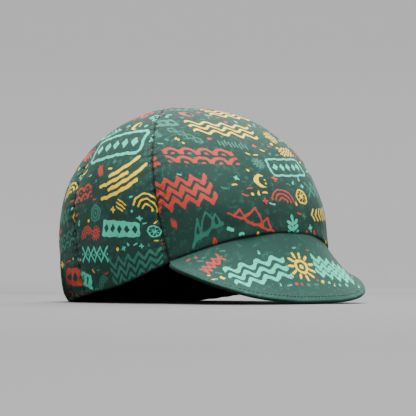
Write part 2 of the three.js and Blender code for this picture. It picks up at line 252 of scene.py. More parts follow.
# %% Tables of the sewn relief
SEAMS = {
    "right_front": (-50.0, -60.0),
    "left_front": (50.0, 60.0),
    "left_middle": (113.0, 113.0),
    "left_rear": (152.0, 158.0),
    "right_rear": (208.0, 202.0),
    "right_middle": (247.0, 247.0),
}
SEAM_DIP = 0.8
SEAM_DIP_WIDTH = 7.0
SEAM_ROLL = 0.9
SEAM_PUCKER = 0.42
PANEL_PUFF = 1.1
GATHER_DEPTH = 3.3
GATHER_RISE = 44.0
GATHER_SPAN = 200.0
GATHER_FADE = 0.85
GATHERS = np.array(
    [
        (0.035, 0.028, 0.55, 0.6),
        (0.083, 0.026, 0.8, 0.85),
        (0.134, 0.03, 0.95, 0.95),
        (0.19, 0.028, 0.75, 0.7),
        (0.245, 0.03, 1.0, 1.0),
        (0.335, 0.026, 0.85, 0.75),
        (0.388, 0.03, 1.0, 0.9),
        (0.44, 0.026, 0.7, 0.65),
        (0.49, 0.028, 0.95, 1.0),
        (0.545, 0.03, 0.8, 0.7),
        (0.6, 0.028, 1.0, 0.95),
        (0.655, 0.028, 0.75, 0.8),
        (0.75, 0.03, 1.0, 1.0),
        (0.806, 0.028, 0.8, 0.7),
        (0.86, 0.028, 0.95, 0.9),
        (0.913, 0.026, 0.7, 0.75),
        (0.962, 0.026, 0.5, 0.6),
    ],
    dtype=[("at", float), ("width", float), ("depth", float), ("rise", float)],
)
DENTS = np.array(
    [
        (100, 16, 0.38, 0.22, 0.022),
        (82, 15, 0.2, 0.2, -0.012),
        (-96, 16, 0.33, 0.2, 0.016),
        (-72, 14, 0.15, 0.18, -0.012),
        (-28, 16, 0.55, 0.2, 0.012),
        (24, 16, 0.62, 0.2, 0.014),
        (180, 20, 0.5, 0.2, 0.012),
    ],
    dtype=[("azimuth", float), ("width", float), ("rise", float), ("height", float), ("depth", float)],
)


def seam_azimuth(name, rise):
    """A seam runs straight from its azimuth at the rim to its azimuth on top."""
    rim, top = SEAMS[name]
    return rim + (top - rim) * rise


def seam_distance(azimuth, rise, radius):
    """The distance to the nearest seam in millimetres: the shortest turn times the radius."""
    turns = [turn_between(azimuth, seam_azimuth(name, rise)) for name in SEAMS]
    return np.radians(np.min(turns, axis=0)) * radius


def ripple(points, lengths, height, seed):
    """A smooth unevenness: a sum of sine waves in seeded directions, each of one of the given lengths."""
    draw = np.random.default_rng(seed)
    total = 0
    for length in lengths:
        direction = unit(draw.normal(size=3))
        total = total + np.sin(points @ direction * 2 * math.pi / length + draw.uniform(0, 2 * math.pi))
    return total * height / math.sqrt(len(lengths))


def rolled(distance, radius):
    """How far an edge is rolled in: a quarter circle that ends straight down at the edge."""
    near = np.clip(radius - distance, 0, radius)
    return radius - np.sqrt(np.clip(radius**2 - near**2, 0, None))


def dent_depth(azimuth, rise):
    """Soft dents: one round bump per row of the table."""
    total = 0
    for dent in DENTS:
        across = turn_between(azimuth, dent["azimuth"]) / dent["width"]
        up = (rise - dent["rise"]) / dent["height"]
        total = total + dent["depth"] * CROWN_HALF_WIDTH * bump(np.hypot(across, up))
    return total


print(len(SEAMS), "seams,", len(GATHERS), "gathers and", len(DENTS), "dents")

# %% [markdown]
# ## The gathers at the back
# An elastic in the rim pulls the cloth into folds there. Round troughs give the folds and thin, sharp
# creases lie in them and between them. Both are deepest at the rim and fade upwards. A crease sways as
# it climbs, because thin cotton never folds quite straight.

# %% Gathers and creases
CREASE_DEPTH = 2.8
CREASE_WIDTH = 1.7
CREASE_ROUND = 0.3
CREASE_FADE = 0.8
CREASE_SWAY = 1.4
CREASE_SWAY_LENGTH = 8
CREASE_SWAY_START = 20
CREASE_SWAY_SHIFT = 60
CREASE_RIM_SHARE = 0.4
CREASE_RIM_HEIGHT = 12
CREASE_SEED = 3


def crease_places():
    """A sharp crease in each gather and two seeded ones between neighbours: place, depth and rise."""
    draw = np.random.default_rng(CREASE_SEED)
    gaps = len(GATHERS) - 1
    main = np.stack([GATHERS["at"], GATHERS["depth"], GATHERS["rise"]], -1)
    shares = np.array([0.36, 0.68]) + draw.uniform(-0.07, 0.07, (gaps, 2))
    between = (GATHERS["at"][:-1, None] + np.diff(GATHERS["at"])[:, None] * shares).ravel()
    extra = np.stack([between, draw.uniform(0.35, 0.85, 2 * gaps), draw.uniform(0.4, 0.85, 2 * gaps)], -1)
    return np.concatenate([main, extra])


def along_gathers(azimuth):
    """0 at the seam left of the gathered back and 1 at the seam right of it, by the azimuth."""
    first, last = SEAMS["left_middle"][0], SEAMS["right_middle"][0]
    return (azimuth % 360 - first) / (last - first)


def faded(height, rise, power):
    """1 at the rim, falling to 0 at a share of the gathers' rise: a power of what is left of it."""
    return np.clip(1 - height / (GATHER_RISE * rise), 0, 1) ** power


def crease_depth(azimuth, height):
    """Sharp creases: each falls off by an exponential to both sides, sways a little and fades upwards."""
    along = along_gathers(azimuth)
    total = np.zeros(np.broadcast(azimuth, height).shape)
    for at, depth, rise in crease_places():
        swing = np.sin(height / CREASE_SWAY_LENGTH + at * CREASE_SWAY_SHIFT)
        sway = CREASE_SWAY * swing * np.clip(height / CREASE_SWAY_START, 0, 1)
        across = np.hypot((along - at) * GATHER_SPAN + sway, CREASE_ROUND)
        held = np.clip(CREASE_RIM_SHARE + height / CREASE_RIM_HEIGHT, CREASE_RIM_SHARE, 1)
        fade = faded(height, rise, CREASE_FADE) * held
        total = total + CREASE_DEPTH * depth * np.exp(-across / CREASE_WIDTH) * fade
    return total


def gather_depth(azimuth, height):
    """Upright folds: a round trough per row of the table, fading upwards, and the sharp creases."""
    along = along_gathers(azimuth)
    total = np.zeros(np.broadcast(azimuth, height).shape)
    for fold in GATHERS:
        trough = bump((along - fold["at"]) / fold["width"])
        total = total + GATHER_DEPTH * fold["depth"] * trough * faded(height, fold["rise"], GATHER_FADE)
    return total + crease_depth(azimuth, height)


round_back = np.linspace(SEAMS["left_middle"][0], SEAMS["right_middle"][0], 500)
deepest = gather_depth(round_back, np.zeros(500)).max()
print(len(crease_places()), "creases; the deepest fold is", round(float(deepest), 1), "mm")

# %% [markdown]
# ## One function for the cloth's outer face
# Everything above is added to the plain crown's radius. The unevenness is a sum of long, slow waves
# for the limp cloth and short ones for the weave's slack. It is the same function for every panel, so
# two panels meet exactly in their seam.

# %% The cloth surface
LONG_WAVES = (62, 48, 41, 35, 29, 26)
LONG_WAVE_HEIGHT, LONG_WAVE_SEED = 0.5, 11
SHORT_WAVES = (19, 16, 13.5, 11, 9.5)
SHORT_WAVE_HEIGHT, SHORT_WAVE_SEED = 0.12, 23
PUFF_REACH = 3 * SEAM_DIP_WIDTH
PUCKER_REACH = 5
PUCKER_TURN = 0.95
PUCKER_DRIFT = 1.7
PUCKER_DRIFT_TURN = 0.21
PUCKER_DRIFT_ROUND = 0.05
ROLL_NEEDS_RADIUS = 9
PUCKER_NEEDS_RADIUS = 40
PEAK_OVERHANG = 0.9
PEAK_OVERHANG_HEIGHT = 9.0
PEAK_OVERHANG_SPREAD = 52
PEAK_OVERHANG_ENDS = 8
AZIMUTH_STEP, RISE_STEP = 0.3, 0.003


def cylinder(azimuth, radius, height):
    """Points at a radius and height round the upright axis."""
    turn = np.radians(azimuth)
    return np.stack([radius * np.sin(turn), -radius * np.cos(turn), height + 0 * radius], -1)


def pucker(azimuth, over):
    """Small waves across a seam: a sine up it whose own phase drifts by a slower sine."""
    drift = PUCKER_DRIFT * np.sin(over * PUCKER_DRIFT_TURN + azimuth * PUCKER_DRIFT_ROUND)
    return np.sin(over * PUCKER_TURN + drift)


def peak_overhang(azimuth, over):
    """The crown's lowest edge bulges over the peak: a bump over the rim, level along the forehead."""
    forehead = np.clip(1 - turn_between(azimuth, 0) / PEAK_OVERHANG_SPREAD, 0, 1)
    ends = np.clip(forehead * PEAK_OVERHANG_ENDS, 0, 1)
    return PEAK_OVERHANG * bump(over / PEAK_OVERHANG_HEIGHT) * ends


def sewn_relief(azimuth, rise, radius, over, taper):
    """What sewing adds to the radius: puff and puckers, less the grooves and the rolled edges."""
    away = seam_distance(azimuth, rise, radius)
    out = PANEL_PUFF * np.clip(away / PUFF_REACH, 0, 1) * np.sin(math.pi * rise) * taper
    out = out - SEAM_DIP * bump(away / SEAM_DIP_WIDTH) * taper
    out = out - rolled(away, SEAM_ROLL) * np.clip(radius / ROLL_NEEDS_RADIUS, 0, 1)
    out = out - rolled(over, SEAM_ROLL)
    near = np.exp(-away / PUCKER_REACH) * np.clip(radius / PUCKER_NEEDS_RADIUS, 0, 1)
    return out + SEAM_PUCKER * pucker(azimuth, over) * near


def cloth(azimuth, rise, sewn=True):
    """The outer face: the plain crown less its dents, with waves and, if sewn, relief and gathers."""
    azimuth, rise = np.broadcast_arrays(np.asarray(azimuth, float), np.asarray(rise, float))
    radius, height = meridian(azimuth, rise)
    plain = cylinder(azimuth, radius, height)
    taper = np.clip(radius / CROWN_HALF_WIDTH, 0, 1)
    out = -dent_depth(azimuth, rise) * taper
    out = out + ripple(plain, LONG_WAVES, LONG_WAVE_HEIGHT, LONG_WAVE_SEED) * taper
    if sewn:
        over = height - rim_height(azimuth)
        out = out + sewn_relief(azimuth, rise, radius, over, taper)
        out = out + ripple(plain, SHORT_WAVES, SHORT_WAVE_HEIGHT, SHORT_WAVE_SEED) * taper
        out = out + gather_depth(azimuth, over) + peak_overhang(azimuth, over)
    return cylinder(azimuth, radius + out, height)


def cloth_normal(azimuth, rise, sewn=True):
    """The outward normal: the slope round the crown crossed with the slope up it."""
    azimuth, rise = np.broadcast_arrays(np.asarray(azimuth, float), np.asarray(rise, float))
    around = cloth(azimuth + AZIMUTH_STEP, rise, sewn) - cloth(azimuth - AZIMUTH_STEP, rise, sewn)
    higher, lower = np.minimum(rise + RISE_STEP, 1), np.maximum(rise - RISE_STEP, 0)
    return unit(np.cross(around, cloth(azimuth, higher, sewn) - cloth(azimuth, lower, sewn)))


print("a point over the forehead:", placed(cloth(0.0, 0.5)).round(4), "m")

# %% [markdown]
# ## Meshes from grids
# Every sewn piece here is a wall between two grids of points, an outer and an inner one. The faces
# between them follow from the row and column numbers alone, so they are worked out as whole arrays.
# foreach_set then hands them to Blender in one call, with the cloth's flat coordinates in millimetres
# as a UV map and any other value per point as an attribute.

# %% Faces of grids and walls


def grid_faces(rows, columns, ring=False):
    """Corner numbers of a grid's four-cornered faces, which look outwards where azimuth and rise grow."""
    row, column = np.meshgrid(np.arange(rows - 1), np.arange(columns if ring else columns - 1), indexing="ij")
    here, after = row * columns + column, row * columns + (column + 1) % columns
    return np.stack([here, after, after + columns, here + columns], -1).reshape(-1, 4)


def grid_borders(rows, columns, ring=False):
    """The points on a grid's borders, each border a closed line that has the grid on its left."""
    numbers = np.arange(rows * columns).reshape(rows, columns)
    if ring:
        return [numbers[0], numbers[-1][::-1]]
    return [np.concatenate([numbers[0, :-1], numbers[:-1, -1], numbers[-1, :0:-1], numbers[:0:-1, 0]])]


def wall_faces(rows, columns, ring=False, every=1):
    """Faces of a wall between a fine outer grid and an inner one that has every first or second point."""
    inner_rows = (rows - 1) // every + 1
    inner_columns = columns // every if ring else (columns - 1) // every + 1
    outside = grid_faces(rows, columns, ring)
    inside = grid_faces(inner_rows, inner_columns, ring)[:, ::-1] + rows * columns
    fine_borders = grid_borders(rows, columns, ring)
    coarse_borders = grid_borders(inner_rows, inner_columns, ring)
    corners, gussets = [], []
    for fine, coarse in zip(fine_borders, coarse_borders):
        coarse = coarse + rows * columns
        if ring and every == 2 and fine is fine_borders[1]:
            fine = np.roll(fine, -1)
        last = np.roll(fine[::every], -1)
        before_last = fine[1::2] if every == 2 else fine
        corners.append(np.stack([coarse, np.roll(coarse, -1), last, before_last], -1))
        if every == 2:
            gussets.append(np.stack([coarse, before_last, fine[::2]], -1))
    return [outside, inside, np.concatenate(corners)] + ([np.concatenate(gussets)] if gussets else [])


print("a wall of 5 by 7 points has", sum(len(part) for part in wall_faces(5, 7)), "faces")

# %% Mesh objects and their place in the frame


def mesh_object(name, points, faces, materials, face_material=None, uv=None, values=None):
    """A smooth mesh object at the origin, from points in metres and arrays of faces."""
    mesh = bpy.data.meshes.new(name)
    loops = np.concatenate([part.ravel() for part in faces]).astype(np.int32)
    sizes = np.concatenate([np.full(len(part), part.shape[1]) for part in faces])
    mesh.vertices.add(len(points))
    mesh.vertices.foreach_set("co", points.astype(np.float32).ravel())
    mesh.loops.add(len(loops))
    mesh.loops.foreach_set("vertex_index", loops)
    mesh.polygons.add(len(sizes))
    mesh.polygons.foreach_set("loop_start", (np.cumsum(sizes) - sizes).astype(np.int32))
    for material in materials:
        mesh.materials.append(material)
    if face_material is not None:
        mesh.polygons.foreach_set("material_index", np.asarray(face_material, np.int32))
    if uv is not None:
        layer = mesh.uv_layers.new(name="cloth_mm")
        layer.uv.foreach_set("vector", uv[loops].astype(np.float32).ravel())
    for key, data in (values or {}).items():
        attribute = mesh.attributes.new(key, "FLOAT", "POINT")
        attribute.data.foreach_set("value", np.asarray(data, np.float32))
    mesh.update(calc_edges=True)
    mesh.validate()
    mesh.shade_smooth()
    thing = bpy.data.objects.new(name, mesh)
    bpy.context.scene.collection.objects.link(thing)
    return thing


def seated(piece, slot, *nodes):
    """Lets a piece ride on the cap and hides the nodes that it stands for. The slot is not used."""
    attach(piece, "root")
    if nodes:
        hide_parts(*nodes)
    print(piece.name, "has", len(piece.data.polygons), "faces")


print(len(bpy.data.meshes), "meshes so far, all of the packed cap")

# %% [markdown]
# ## Colours and nodes
# Colours are written as the sRGB hex values that a paint chart gives, and turned to linear light by
# one function. Another small function adds a node with its settings and links, so that a material
# reads as a list of what it is made of. A woven cloth's bump is the product of two sine waves.

# %% Colours


def linear(hex_colour):
    """An sRGB hex colour as linear red, green and blue by the standard curve, and a full alpha."""
    parts = [int(hex_colour[i : i + 2], 16) / 255 for i in (1, 3, 5)]
    return (*[p / 12.92 if p <= 0.04045 else ((p + 0.055) / 1.055) ** 2.4 for p in parts], 1.0)


print("mid grey is", round(linear("#808080")[0], 3), "in linear light")

# %% The node helper and the weave


def add(tree, kind, inputs=(), **settings):
    """Adds a node with its settings. inputs are pairs: a socket, and its value or the socket to link."""
    node = tree.nodes.new(kind)
    for key, value in settings.items():
        setattr(node, key, value)
    for socket, value in inputs:
        if isinstance(value, bpy.types.NodeSocket):
            tree.links.new(value, node.inputs[socket])
        else:
            node.inputs[socket].default_value = value
    return node


def fresh_material(name):
    """An empty node material with its output."""
    material = bpy.data.materials.new(name)
    material.use_nodes = True
    material.node_tree.nodes.clear()
    output = add(material.node_tree, "ShaderNodeOutputMaterial")
    return material, material.node_tree, output


def weave_height(tree, pitch):
    """A plain weave on the UV map: two sine waves a thread apart, one over and one under."""
    place = add(tree, "ShaderNodeUVMap", uv_map="cloth_mm")
    parts = add(tree, "ShaderNodeSeparateXYZ", [(0, place.outputs[0])])
    threads = []
    for axis in (0, 1):
        spread = [(0, parts.outputs[axis]), (1, math.pi / pitch)]
        turn = add(tree, "ShaderNodeMath", spread, operation="MULTIPLY")
        wave = add(tree, "ShaderNodeMath", [(0, turn.outputs[0])], operation="SINE")
        threads.append(wave.outputs[0])
    crossed = add(tree, "ShaderNodeMath", [(0, threads[0]), (1, threads[1])], operation="MULTIPLY")
    return crossed.outputs[0]


print(len(bpy.data.materials), "materials come with the packed cap")

# %% [markdown]
# ## The printed cotton
# The crown and the peak are cotton poplin, dyed green and then screen printed. Poplin is matt, with a
# faint fuzz that the sheen gives. Ink lies on its threads and is rubbed thin here and there. The real
# threads are 0.3 mm apart and don't show at arm's length, so the weave is drawn three times as coarse.
# An image could carry all this, but noise and sine waves stay sharp close up and tile nowhere.

# %% The dyed ground
PALETTE = {"teal": "#307563", "coral": "#BC382E", "yellow": "#FFD20A", "mint": "#44C9A9"}
GREEN, GREEN_DEEP = "#22433A", "#18322B"
# A paler copy of the ground, painted light: the peak's upper face, turned up to the lamps, takes it.
PAINTED_LIT_GREEN, PAINTED_LIT_GREEN_DEEP = "#284E44", "#1E3B34"
NOISE_SCALES = {"cloud": (28, 3), "chalk": (310, 6), "speck": (900, 2), "wear": (420, 4)}


def noise_fields(tree):
    """Four noises on Object coordinates: broad clouds, chalk, specks and wear."""
    place = add(tree, "ShaderNodeTexCoord")
    noise = {}
    for use, (scale, detail) in NOISE_SCALES.items():
        spot = ("Vector", place.outputs["Object"])
        noise[use] = add(tree, "ShaderNodeTexNoise", [spot, ("Scale", scale), ("Detail", detail)]).outputs[0]
    return noise


def dyed_ground(tree, noise, green, deep):
    """Two greens mixed by the clouds, with a chalky teal dust where the chalk noise is high."""
    cloudy = add(
        tree,
        "ShaderNodeMix",
        [(0, noise["cloud"]), (6, linear(deep)), (7, linear(green))],
        data_type="RGBA",
    ).outputs[2]
    dusted = add(
        tree,
        "ShaderNodeMapRange",
        [("Value", noise["chalk"]), ("From Min", 0.55), ("From Max", 0.75), ("To Max", 0.5)],
    ).outputs[0]
    return add(
        tree,
        "ShaderNodeMix",
        [(0, dusted), (6, cloudy), (7, linear(PALETTE["teal"]))],
        data_type="RGBA",
    ).outputs[2]


print("inks:", ", ".join(PALETTE))

# %% Ink on the threads
INK_EDGE = 0.14


def ink_hold(tree, noise, weave):
    """How well ink holds: a little less in the weave's hollows, times less where the cloth is worn."""
    rubbed = add(
        tree,
        "ShaderNodeMapRange",
        [("Value", noise["wear"]), ("From Min", 0.58), ("From Max", 0.72), ("To Min", 1.0), ("To Max", 0.45)],
    ).outputs[0]
    on_threads = add(
        tree,
        "ShaderNodeMapRange",
        [("Value", weave), ("From Min", -1.0), ("To Min", 0.88), ("To Max", 0.99)],
    ).outputs[0]
    return add(tree, "ShaderNodeMath", [(0, on_threads), (1, rubbed)], operation="MULTIPLY").outputs[0]


def inks_over(tree, colour, noise, hold):
    """The four inks over a colour, each where its distance is below 0, roughened by the specks."""
    rough_edge = add(
        tree,
        "ShaderNodeMath",
        [(0, noise["speck"]), (1, 0.5), (2, -0.25)],
        operation="MULTIPLY_ADD",
    ).outputs[0]
    inked = None
    for ink, hex_colour in PALETTE.items():
        drawn = add(tree, "ShaderNodeAttribute", attribute_name="ink_" + ink).outputs["Fac"]
        distance = add(tree, "ShaderNodeMath", [(0, drawn), (1, rough_edge)], operation="ADD").outputs[0]
        inside = add(
            tree,
            "ShaderNodeMapRange",
            [("Value", distance), ("From Min", INK_EDGE), ("From Max", -INK_EDGE)],
        ).outputs[0]
        cover = add(tree, "ShaderNodeMath", [(0, inside), (1, hold)], operation="MULTIPLY").outputs[0]
        colour = add(
            tree,
            "ShaderNodeMix",
            [(0, cover), (6, colour), (7, linear(hex_colour))],
            data_type="RGBA",
        ).outputs[2]
        if inked is None:
            inked = cover
        else:
            inked = add(tree, "ShaderNodeMath", [(0, inked), (1, cover)], operation="MAXIMUM").outputs[0]
    return colour, inked


print("an ink's edge fades over", 2 * INK_EDGE, "mm")

# %% Printed cotton poplin
WEAVE_PITCH = 0.9
REAL_PITCH = 0.3
# Painted shade, full within 0.1 mm of a seam, crease or edge and gone at 1.5 mm.
PAINTED_SHADE_FROM, PAINTED_SHADE_TO = 0.1, 1.5


def shaded(tree, colour, weave):
    """The colour times painted shade near seams, creases and edges, and times painted shade and highlight in
    the weave.
    """
    painted_shade_at = add(tree, "ShaderNodeAttribute", attribute_name="painted_shade_mm").outputs["Fac"]
    seam_shade = add(
        tree,
        "ShaderNodeMapRange",
        [("Value", painted_shade_at), ("From Min", PAINTED_SHADE_FROM), ("From Max", PAINTED_SHADE_TO), ("To Min", 0.25)],
    ).outputs[0]
    # Painted shade in the weave's hollows and a faint painted highlight on its threads.
    weave_painted_shade = add(
        tree,
        "ShaderNodeMapRange",
        [("Value", weave), ("From Min", -1.0), ("To Min", 0.9), ("To Max", 1.06)],
    ).outputs[0]
    for darker in (seam_shade, weave_painted_shade):
        colour = add(
            tree,
            "ShaderNodeMix",
            [(0, 1.0), (6, colour), (7, darker)],
            data_type="RGBA",
            blend_type="MULTIPLY",
        ).outputs[2]
    return colour


def printed_cotton(name, green, deep):
    """Green cotton with four inks, each where its attribute, the distance to its drawing, is below 0."""
    material, tree, output = fresh_material(name)
    noise = noise_fields(tree)
    weave = weave_height(tree, WEAVE_PITCH)
    ground = dyed_ground(tree, noise, green, deep)
    colour, inked = inks_over(tree, ground, noise, ink_hold(tree, noise, weave))
    roughness = add(
        tree,
        "ShaderNodeMapRange",
        [("Value", inked), ("To Min", 0.88), ("To Max", 0.72)],
    ).outputs[0]
    lift = add(
        tree,
        "ShaderNodeMath",
        [(0, noise["speck"]), (1, 0.8), (2, weave)],
        operation="MULTIPLY_ADD",
    ).outputs[0]
    bumped = add(tree, "ShaderNodeBump", [("Height", lift), ("Strength", 0.28), ("Distance", 0.00012)])
    shader = add(
        tree,
        "ShaderNodeBsdfPrincipled",
        [
            ("Base Color", shaded(tree, colour, weave)),
            ("Roughness", roughness),
            ("Normal", bumped.outputs[0]),
            ("Sheen Weight", 0.08),
            ("Sheen Roughness", 0.45),
            ("Sheen Tint", linear("#A9CFC2")),
            ("Specular IOR Level", 0.2),
        ],
    )
    tree.links.new(shader.outputs[0], output.inputs[0])
    return material


poplin = printed_cotton("cotton_poplin_screen_printed", GREEN, GREEN_DEEP)
# The same cloth on the paler ground, painted light for the peak's upper face.
painted_lit_poplin = printed_cotton("cotton_poplin_screen_printed_painted_lit", PAINTED_LIT_GREEN, PAINTED_LIT_GREEN_DEEP)
print("the weave is drawn", round(WEAVE_PITCH / REAL_PITCH), "times as coarse as real poplin's")

# %% [markdown]
# ## The plain cloths
# The poplin's reverse is near black and matt. The sweatband is cotton twill tape,
# dense and with a soft bloom from its raised threads. The loop is woven polyester tape, whose smooth
# yarn gives a faint gloss. The stitches are spun polyester thread, as green as the cloth and smoother
# than it. One function serves all four, because they differ in colour, pitch, bump and gloss alone.

# %% Plain woven cloths


def plain_cloth(name, colour, deep, pitch, strength, sheen, roughness):
    """One-coloured woven cloth: two tones mixed by noise plus the weave, as painted shade and highlight; the
    weave also lifts the bump.
    """
    material, tree, output = fresh_material(name)
    place = add(tree, "ShaderNodeTexCoord")
    spot = ("Vector", place.outputs["Object"])
    cloud = add(tree, "ShaderNodeTexNoise", [spot, ("Scale", 60.0), ("Detail", 3.0)]).outputs[0]
    speck = add(tree, "ShaderNodeTexNoise", [spot, ("Scale", 800.0), ("Detail", 2.0)]).outputs[0]
    weave = weave_height(tree, pitch)
    # The weave's hollows lean to the deeper tone and its threads to the lighter: painted shade and highlight.
    tone_and_painted_weave_shade = add(tree, "ShaderNodeMath", [(0, weave), (1, 0.25), (2, cloud)], operation="MULTIPLY_ADD")
    tone = add(
        tree,
        "ShaderNodeMix",
        [(0, tone_and_painted_weave_shade.outputs[0]), (6, linear(deep)), (7, linear(colour))],
        data_type="RGBA",
    ).outputs[2]
    lift = add(tree, "ShaderNodeMath", [(0, speck), (1, 0.8), (2, weave)], operation="MULTIPLY_ADD")
    bumped = add(
        tree,
        "ShaderNodeBump",
        [("Height", lift.outputs[0]), ("Strength", strength), ("Distance", 0.0002)],
    )
    shader = add(
        tree,
        "ShaderNodeBsdfPrincipled",
        [
            ("Base Color", tone),
            ("Roughness", roughness),
            ("Normal", bumped.outputs[0]),
            ("Sheen Weight", sheen),
            ("Sheen Roughness", 0.4),
        ],
    )
    tree.links.new(shader.outputs[0], output.inputs[0])
    return material


reverse = plain_cloth("cotton_poplin_black_reverse", "#101312", "#080909", 0.9, 0.3, 0.1, 0.9)
band_cloth = plain_cloth("cotton_twill_tape_black", "#15171A", "#0A0B0C", 1.2, 0.6, 0.25, 0.7)
tape = plain_cloth("woven_polyester_tape_red", "#9A1519", "#700C10", 0.8, 0.7, 0.04, 0.7)
thread = plain_cloth("polyester_thread_green", "#22493E", "#16352C", 0.4, 0.4, 0.1, 0.5)
print(len(bpy.data.materials), "materials")

# %% [markdown]
# ## The print
# The cloth is printed all over with small hand-drawn figures before it is cut, so the figures stop at
# the seams. An image would do it, but here each figure is a formula for the distance to its lines, in
# millimetres on the flat cloth. The nearest distance is stored at each point of the mesh as one
# attribute per ink, and the material inks what lies below zero, so that the edges stay crisp between
# the points. The figures are suns, sprigs, waves, zigzags, rings, stars and other common ornaments.
# Each is drawn about 0, 0 at a size, with lines of a pen's width.

# %% Distances that the figures are made of
FAR = 9.0
WIDE = 2.3
TEST_PEN = 0.18


def segment(x, y, start, end):
    """Distance to a straight line: to the nearest point between its ends."""
    along = np.array(end, float) - start
    share = np.clip(((x - start[0]) * along[0] + (y - start[1]) * along[1]) / (along @ along), 0, 1)
    return np.hypot(x - start[0] - share * along[0], y - start[1] - share * along[1])


def fold_turn(x, y, count):
    """The plane folded into one of count equal sectors about the X axis: the angle's remainder."""
    part = 2 * math.pi / count
    angle = (np.arctan2(y, x) + part / 2) % part - part / 2
    radius = np.hypot(x, y)
    return radius * np.cos(angle), radius * np.sin(angle)


def repeat(x, pitch):
    """The line folded into pieces one pitch long about 0: the remainder of a division by the pitch."""
    return (x + pitch / 2) % pitch - pitch / 2


def rounded_box(x, y, half_width, half_height, radius):
    """Signed distance to a box with round corners."""
    dx = np.abs(x) - half_width + radius
    dy = np.abs(y) - half_height + radius
    return np.hypot(np.clip(dx, 0, None), np.clip(dy, 0, None)) + np.minimum(np.maximum(dx, dy), 0) - radius


def oval(x, y, half_length, half_width):
    """About the signed distance to an ellipse: its level less one, times its lesser half width."""
    return (np.hypot(x / half_length, y / half_width) - 1) * half_width


def inked_shares(*figures):
    """How much of a field 2 WIDE by 2 sizes each figure inks: the share of distances below 0."""
    x, y = np.meshgrid(np.linspace(-WIDE, WIDE, 93), np.linspace(-1, 1, 41))
    return {figure.__name__: round(float((figure(x, y, 1.0, TEST_PEN) < 0).mean()), 2) for figure in figures}


print("0.5 beyond its end, a stroke is", float(segment(1.5, 0, (-1, 0), (1, 0))), "away")

# %% Suns and rings


def sun(x, y, size, pen):
    """A ring with eleven rays and a filled middle."""
    radius = np.hypot(x, y)
    rx, ry = fold_turn(x, y, 11)
    rays = segment(rx, ry, (0.66 * size, 0), (0.95 * size, 0))
    return np.minimum.reduce([np.abs(radius - 0.42 * size) - pen / 2, rays - pen / 2, radius - 0.16 * size])


def burst(x, y, size, pen):
    """Ten loose rays, every second one short."""
    long_x, long_y = fold_turn(x, y, 5)
    short_x, short_y = fold_turn(-x, -y, 5)
    rays = segment(long_x, long_y, (0.3 * size, 0), (0.95 * size, 0))
    return np.minimum(rays, segment(short_x, short_y, (0.45 * size, 0), (0.75 * size, 0))) - pen / 2


def wheel(x, y, size, pen):
    """A rim, a hub and eight spokes."""
    radius = np.hypot(x, y)
    rx, ry = fold_turn(x, y, 8)
    spokes = segment(rx, ry, (0.2 * size, 0), (0.85 * size, 0)) - 0.3 * pen
    return np.minimum.reduce([np.abs(radius - 0.86 * size) - pen / 2, spokes, radius - 0.2 * size])


def rings(x, y, size, pen):
    """Two rings round a dot."""
    radius = np.hypot(x, y)
    pair = np.minimum(np.abs(radius - 0.88 * size), np.abs(radius - 0.52 * size)) - pen / 2
    return np.minimum(pair, radius - 0.2 * size)


print(inked_shares(sun, burst, wheel, rings))

# %% Stars, petals and a spiral


def star(x, y, size, pen):
    """A five-pointed outline: one edge, mirrored and turned."""
    rx, ry = fold_turn(y, x, 5)
    inner = (0.42 * size * math.cos(math.pi / 5), 0.42 * size * math.sin(math.pi / 5))
    return segment(rx, np.abs(ry), (0.95 * size, 0), inner) - pen / 2


def flower(x, y, size, pen):
    """Six outlined petals round a dot."""
    rx, ry = fold_turn(x, y, 6)
    petals = np.abs(oval(rx - 0.6 * size, ry, 0.33 * size, 0.21 * size)) - pen / 2
    return np.minimum(petals, np.hypot(x, y) - 0.16 * size)


def spiral(x, y, size, pen):
    """An even spiral of two and a half turns."""
    radius = np.hypot(x, y)
    pitch = size / 2.6
    turns = radius / pitch - np.arctan2(y, x) / (2 * math.pi)
    return np.maximum(np.abs(turns - np.round(turns)) * pitch - pen / 2, radius - 0.95 * size)


print(inked_shares(star, flower, spiral))

# %% Arches, patches and moons


def arches(x, y, size, pen):
    """Three half rings, one in the other."""
    radius = np.hypot(x, y + 0.4 * size)
    ring = np.minimum.reduce([np.abs(radius - share * size) for share in (0.4, 0.78, 1.15)]) - pen / 2
    return np.maximum(ring, -(y + 0.4 * size))


def hatched(x, y, size, pen):
    """A round patch of slanting strokes."""
    lines = np.abs(repeat((x + y) * 0.7071, max(0.42 * size, 2.4 * pen))) - pen / 2
    return np.maximum(lines, np.hypot(x, y) - 0.9 * size)


def crescent(x, y, size, pen):
    """A disc less a smaller disc beside it, with two dots in the gap."""
    moon = np.maximum(np.hypot(x, y) - 0.85 * size, 0.7 * size - np.hypot(x - 0.42 * size, y))
    return np.minimum(moon, np.hypot(x - 0.5 * size, np.abs(y) - 0.22 * size) - 0.6 * pen)


print(inked_shares(arches, hatched, crescent))

# %% Plants and clouds


def sprig(x, y, size, pen):
    """A stem with four pairs of filled leaves and one at its end."""
    shape = segment(x, y, (0, -0.95 * size), (0, 0.6 * size)) - 0.4 * pen
    for step in range(4):
        u = np.abs(x) - 0.3 * size
        v = y - (step * 0.38 - 0.75) * size
        shape = np.minimum(shape, oval(0.77 * u + 0.64 * v, 0.77 * v - 0.64 * u, 0.3 * size, 0.12 * size))
    return np.minimum(shape, oval(y - 0.72 * size, x, 0.26 * size, 0.13 * size))


def cloud(x, y, size, pen):
    """The outline of four discs on a level base."""
    puffs = [(-0.5, -0.1, 0.36), (0.0, 0.2, 0.45), (0.5, -0.05, 0.38), (0.0, -0.2, 0.4)]
    shape = np.minimum.reduce([np.hypot(x - a * size, y - b * size) - c * size for a, b, c in puffs])
    return np.abs(np.maximum(shape, -0.35 * size - y)) - pen / 2


print(inked_shares(sprig, cloud))

# %% Small figures


